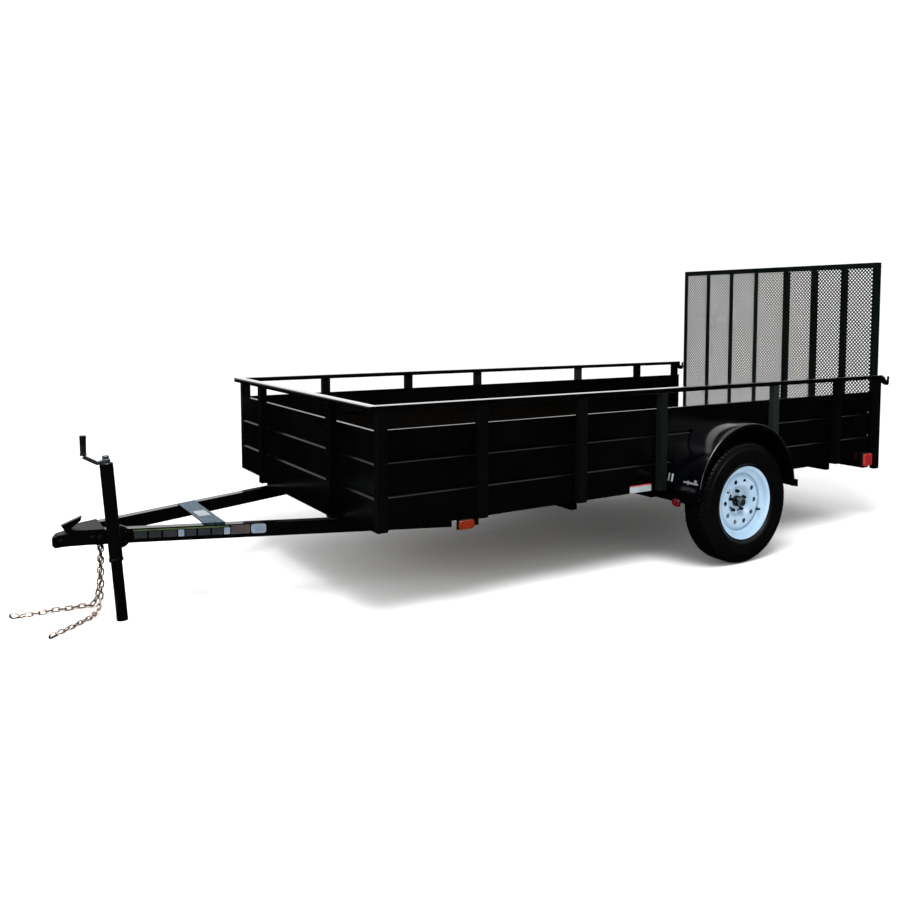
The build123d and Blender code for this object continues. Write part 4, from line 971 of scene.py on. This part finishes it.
for behind, above in ((3624, 309), (3624, 154)):
    at = wall_face + (bed_front + behind * MM, 0, above * MM)
    left_rivet = turned(rivet, at, (0, -1, 0), (1, 0, 0), 16)
    rivets += [left_rivet, left_rivet * (1, -1, 1)]
add_piece("side_rivets", rivets, zinc)
print("screws:", len(screws), "rivets:", len(rivets))

# %% Straps and coupler bolts
STRAP_OUT = 1.132
straps = []
for _, side in SIDES:
    at = np.array((axle_x, side * STRAP_OUT, arch_z - 10 * MM)) + front_out * (FENDER_RADIUS + 1 * MM)
    straps.append(slab(at, front_axes, 53 * MM, 5 * MM, 2 * MM, 3 * MM))
    straps += bolt(at - (0, side * 20 * MM, 0), front_out, 8 * MM, 8 * MM)
    straps += bolt(at + (0, side * 34 * MM, 12 * MM), front_out, 7 * MM, 6 * MM)
add_piece("fender_straps", straps, bare_edge, smooth=30)
bolts = []
# ahead of the front wall, above the frame's underside and across, in millimetres; the first faces sideways
for ahead, above, y, faces in (
        (1122, -77, -33, np.array((0, -1, 0))), (1000, -62, -100, beam_out), (970, -62, -112, beam_out)):
    at = np.array((bed_front - ahead * MM, y * MM, frame_base + above * MM))
    bolts += bolt(at, faces, 9 * MM, 8 * MM)
add_piece("coupler_bolts", bolts, dark_zinc)

# %% [markdown]
# ## Camera, floor and light
# The camera stands left and ahead of the trailer at head height and looks a little down. A shifted
# lens keeps the upright edges nearly upright. The floor is plain and pale, and large soft lights
# give long, even reflections.

# %% Camera
CAMERA_AT = Vector((-2.844, -4.451, 1.402))
HEADING, DOWNWARD, ROLL = 0.961389, 0.070341, 0.005174
# the focal length and the shifts are shares of the sensor's width
SENSOR, LENS_SHARE = 36.0, 872.2 / 900
SHIFT_RIGHT, SHIFT_UP = (450 - 530.0) / 900, (374.3 - 450) / 900
view_line = Vector((
    math.cos(DOWNWARD) * math.cos(HEADING), math.cos(DOWNWARD) * math.sin(HEADING), -math.sin(DOWNWARD)))
level = Vector((math.sin(HEADING), -math.cos(HEADING), 0))
upward = level.cross(view_line)
right = level * math.cos(ROLL) + upward * math.sin(ROLL)
upward = right.cross(view_line)
camera_data = bpy.data.cameras.new("camera")
camera_data.sensor_width = SENSOR
camera_data.lens = SENSOR * LENS_SHARE
camera_data.shift_x, camera_data.shift_y = SHIFT_RIGHT, SHIFT_UP
camera = bpy.data.objects.new("camera", camera_data)
bpy.context.scene.collection.objects.link(camera)
turn = Matrix((right, upward, -view_line)).transposed().to_4x4()
camera.matrix_world = Matrix.Translation(CAMERA_AT) @ turn
bpy.context.scene.camera = camera
print("lens", round(camera_data.lens, 2), "mm")


# %% Floor
def flat_floor(name, size, colour):
    """A square of even, matt colour at z = 0."""
    material, _, _ = start_material(name, {"Roughness": 0.9, "Base Color": linear(colour)})
    reach = np.linspace(-size, size, 2)
    x, y = np.meshgrid(reach, reach, indexing="ij")
    points = np.stack([x, y, 0 * x], axis=-1)
    mesh = bpy.data.meshes.new(name)
    mesh.from_pydata(points.reshape(-1, 3).tolist(), [], [(0, 2, 3, 1)])
    mesh.materials.append(material)
    floor = bpy.data.objects.new(name, mesh)
    bpy.context.scene.collection.objects.link(floor)
    return floor


ground = flat_floor("pale_floor", 300.0, "#ffffff")
ground.visible_glossy = False

# %% [markdown]
# ## Surround
# Gloss black shows little but what it mirrors. In a studio, black cards stand beside the camera and
# a bright backdrop hangs behind and above the piece. The surround does the same: it is white to the
# camera and to matt surfaces, and a glossy ray meets white only behind the trailer or high up. The
# mask is kept = 1 - glossy x (1 - the larger of behind and above), and it fades to black just
# below the horizon.

# %% Surround
world = bpy.data.worlds.new("soft_surround")
bpy.context.scene.world = world
world.use_nodes = True
sky = world.node_tree
sky.nodes["Background"].inputs["Strength"].default_value = 1.05
direction = add_node(sky, "TexCoord")
height = add_node(sky, "SeparateXYZ", links={"Vector": direction.outputs["Generated"]})
horizon = add_node(sky, "MapRange", {"From Min": -0.05, "From Max": -0.012}, {"Value": height.outputs["Z"]})
path = add_node(sky, "LightPath")
ahead = add_node(sky, "VectorMath", {1: (math.cos(HEADING), math.sin(HEADING), 0.0)},
                 {0: direction.outputs["Generated"]}, operation="DOT_PRODUCT")
behind = add_node(sky, "MapRange", {"From Min": 0.42, "From Max": 0.85}, {"Value": ahead.outputs["Value"]})
above = add_node(sky, "MapRange", {"From Min": 0.3, "From Max": 0.65}, {"Value": height.outputs["Z"]})
lit = add_node(sky, "Math", links={0: behind.outputs["Result"], 1: above.outputs["Result"]},
               operation="MAXIMUM")
unlit = add_node(sky, "Math", {0: 1.0}, {1: lit.outputs[0]}, operation="SUBTRACT")
masked = add_node(sky, "Math", links={0: unlit.outputs[0], 1: path.outputs["Is Glossy Ray"]},
                  operation="MULTIPLY")
kept = add_node(sky, "Math", {0: 1.0}, {1: masked.outputs[0]}, operation="SUBTRACT")
bright = add_node(sky, "Math", links={0: kept.outputs[0], 1: horizon.outputs["Result"]}, operation="MULTIPLY")
tone = blend_ramp(sky, bright.outputs[0], ((0.0, "#050505"), (1.0, "#ffffff")))
sky.links.new(tone, sky.nodes["Background"].inputs["Color"])


# %% Lights
def soft_light(name, at, aim, size, power):
    """A square area light at a place, turned to face its aim."""
    data = bpy.data.lights.new(name, "AREA")
    data.shape, data.size, data.energy = "SQUARE", size, power
    lamp = bpy.data.objects.new(name, data)
    lamp.location = at
    lamp.rotation_mode = "QUATERNION"
    lamp.rotation_quaternion = (Vector(aim) - Vector(at)).to_track_quat("-Z", "Y")
    bpy.context.scene.collection.objects.link(lamp)


soft_light("high_softbox", (-1.5, -3.0, 6.0), (0.0, 0.0, 0.6), 3.2, 420)
soft_light("front_softbox", (-6.5, -2.0, 2.6), (0.0, 0.0, 0.6), 3.0, 120)
bpy.context.scene.view_settings.view_transform = "Standard"
print("lights:", len(bpy.data.lights))
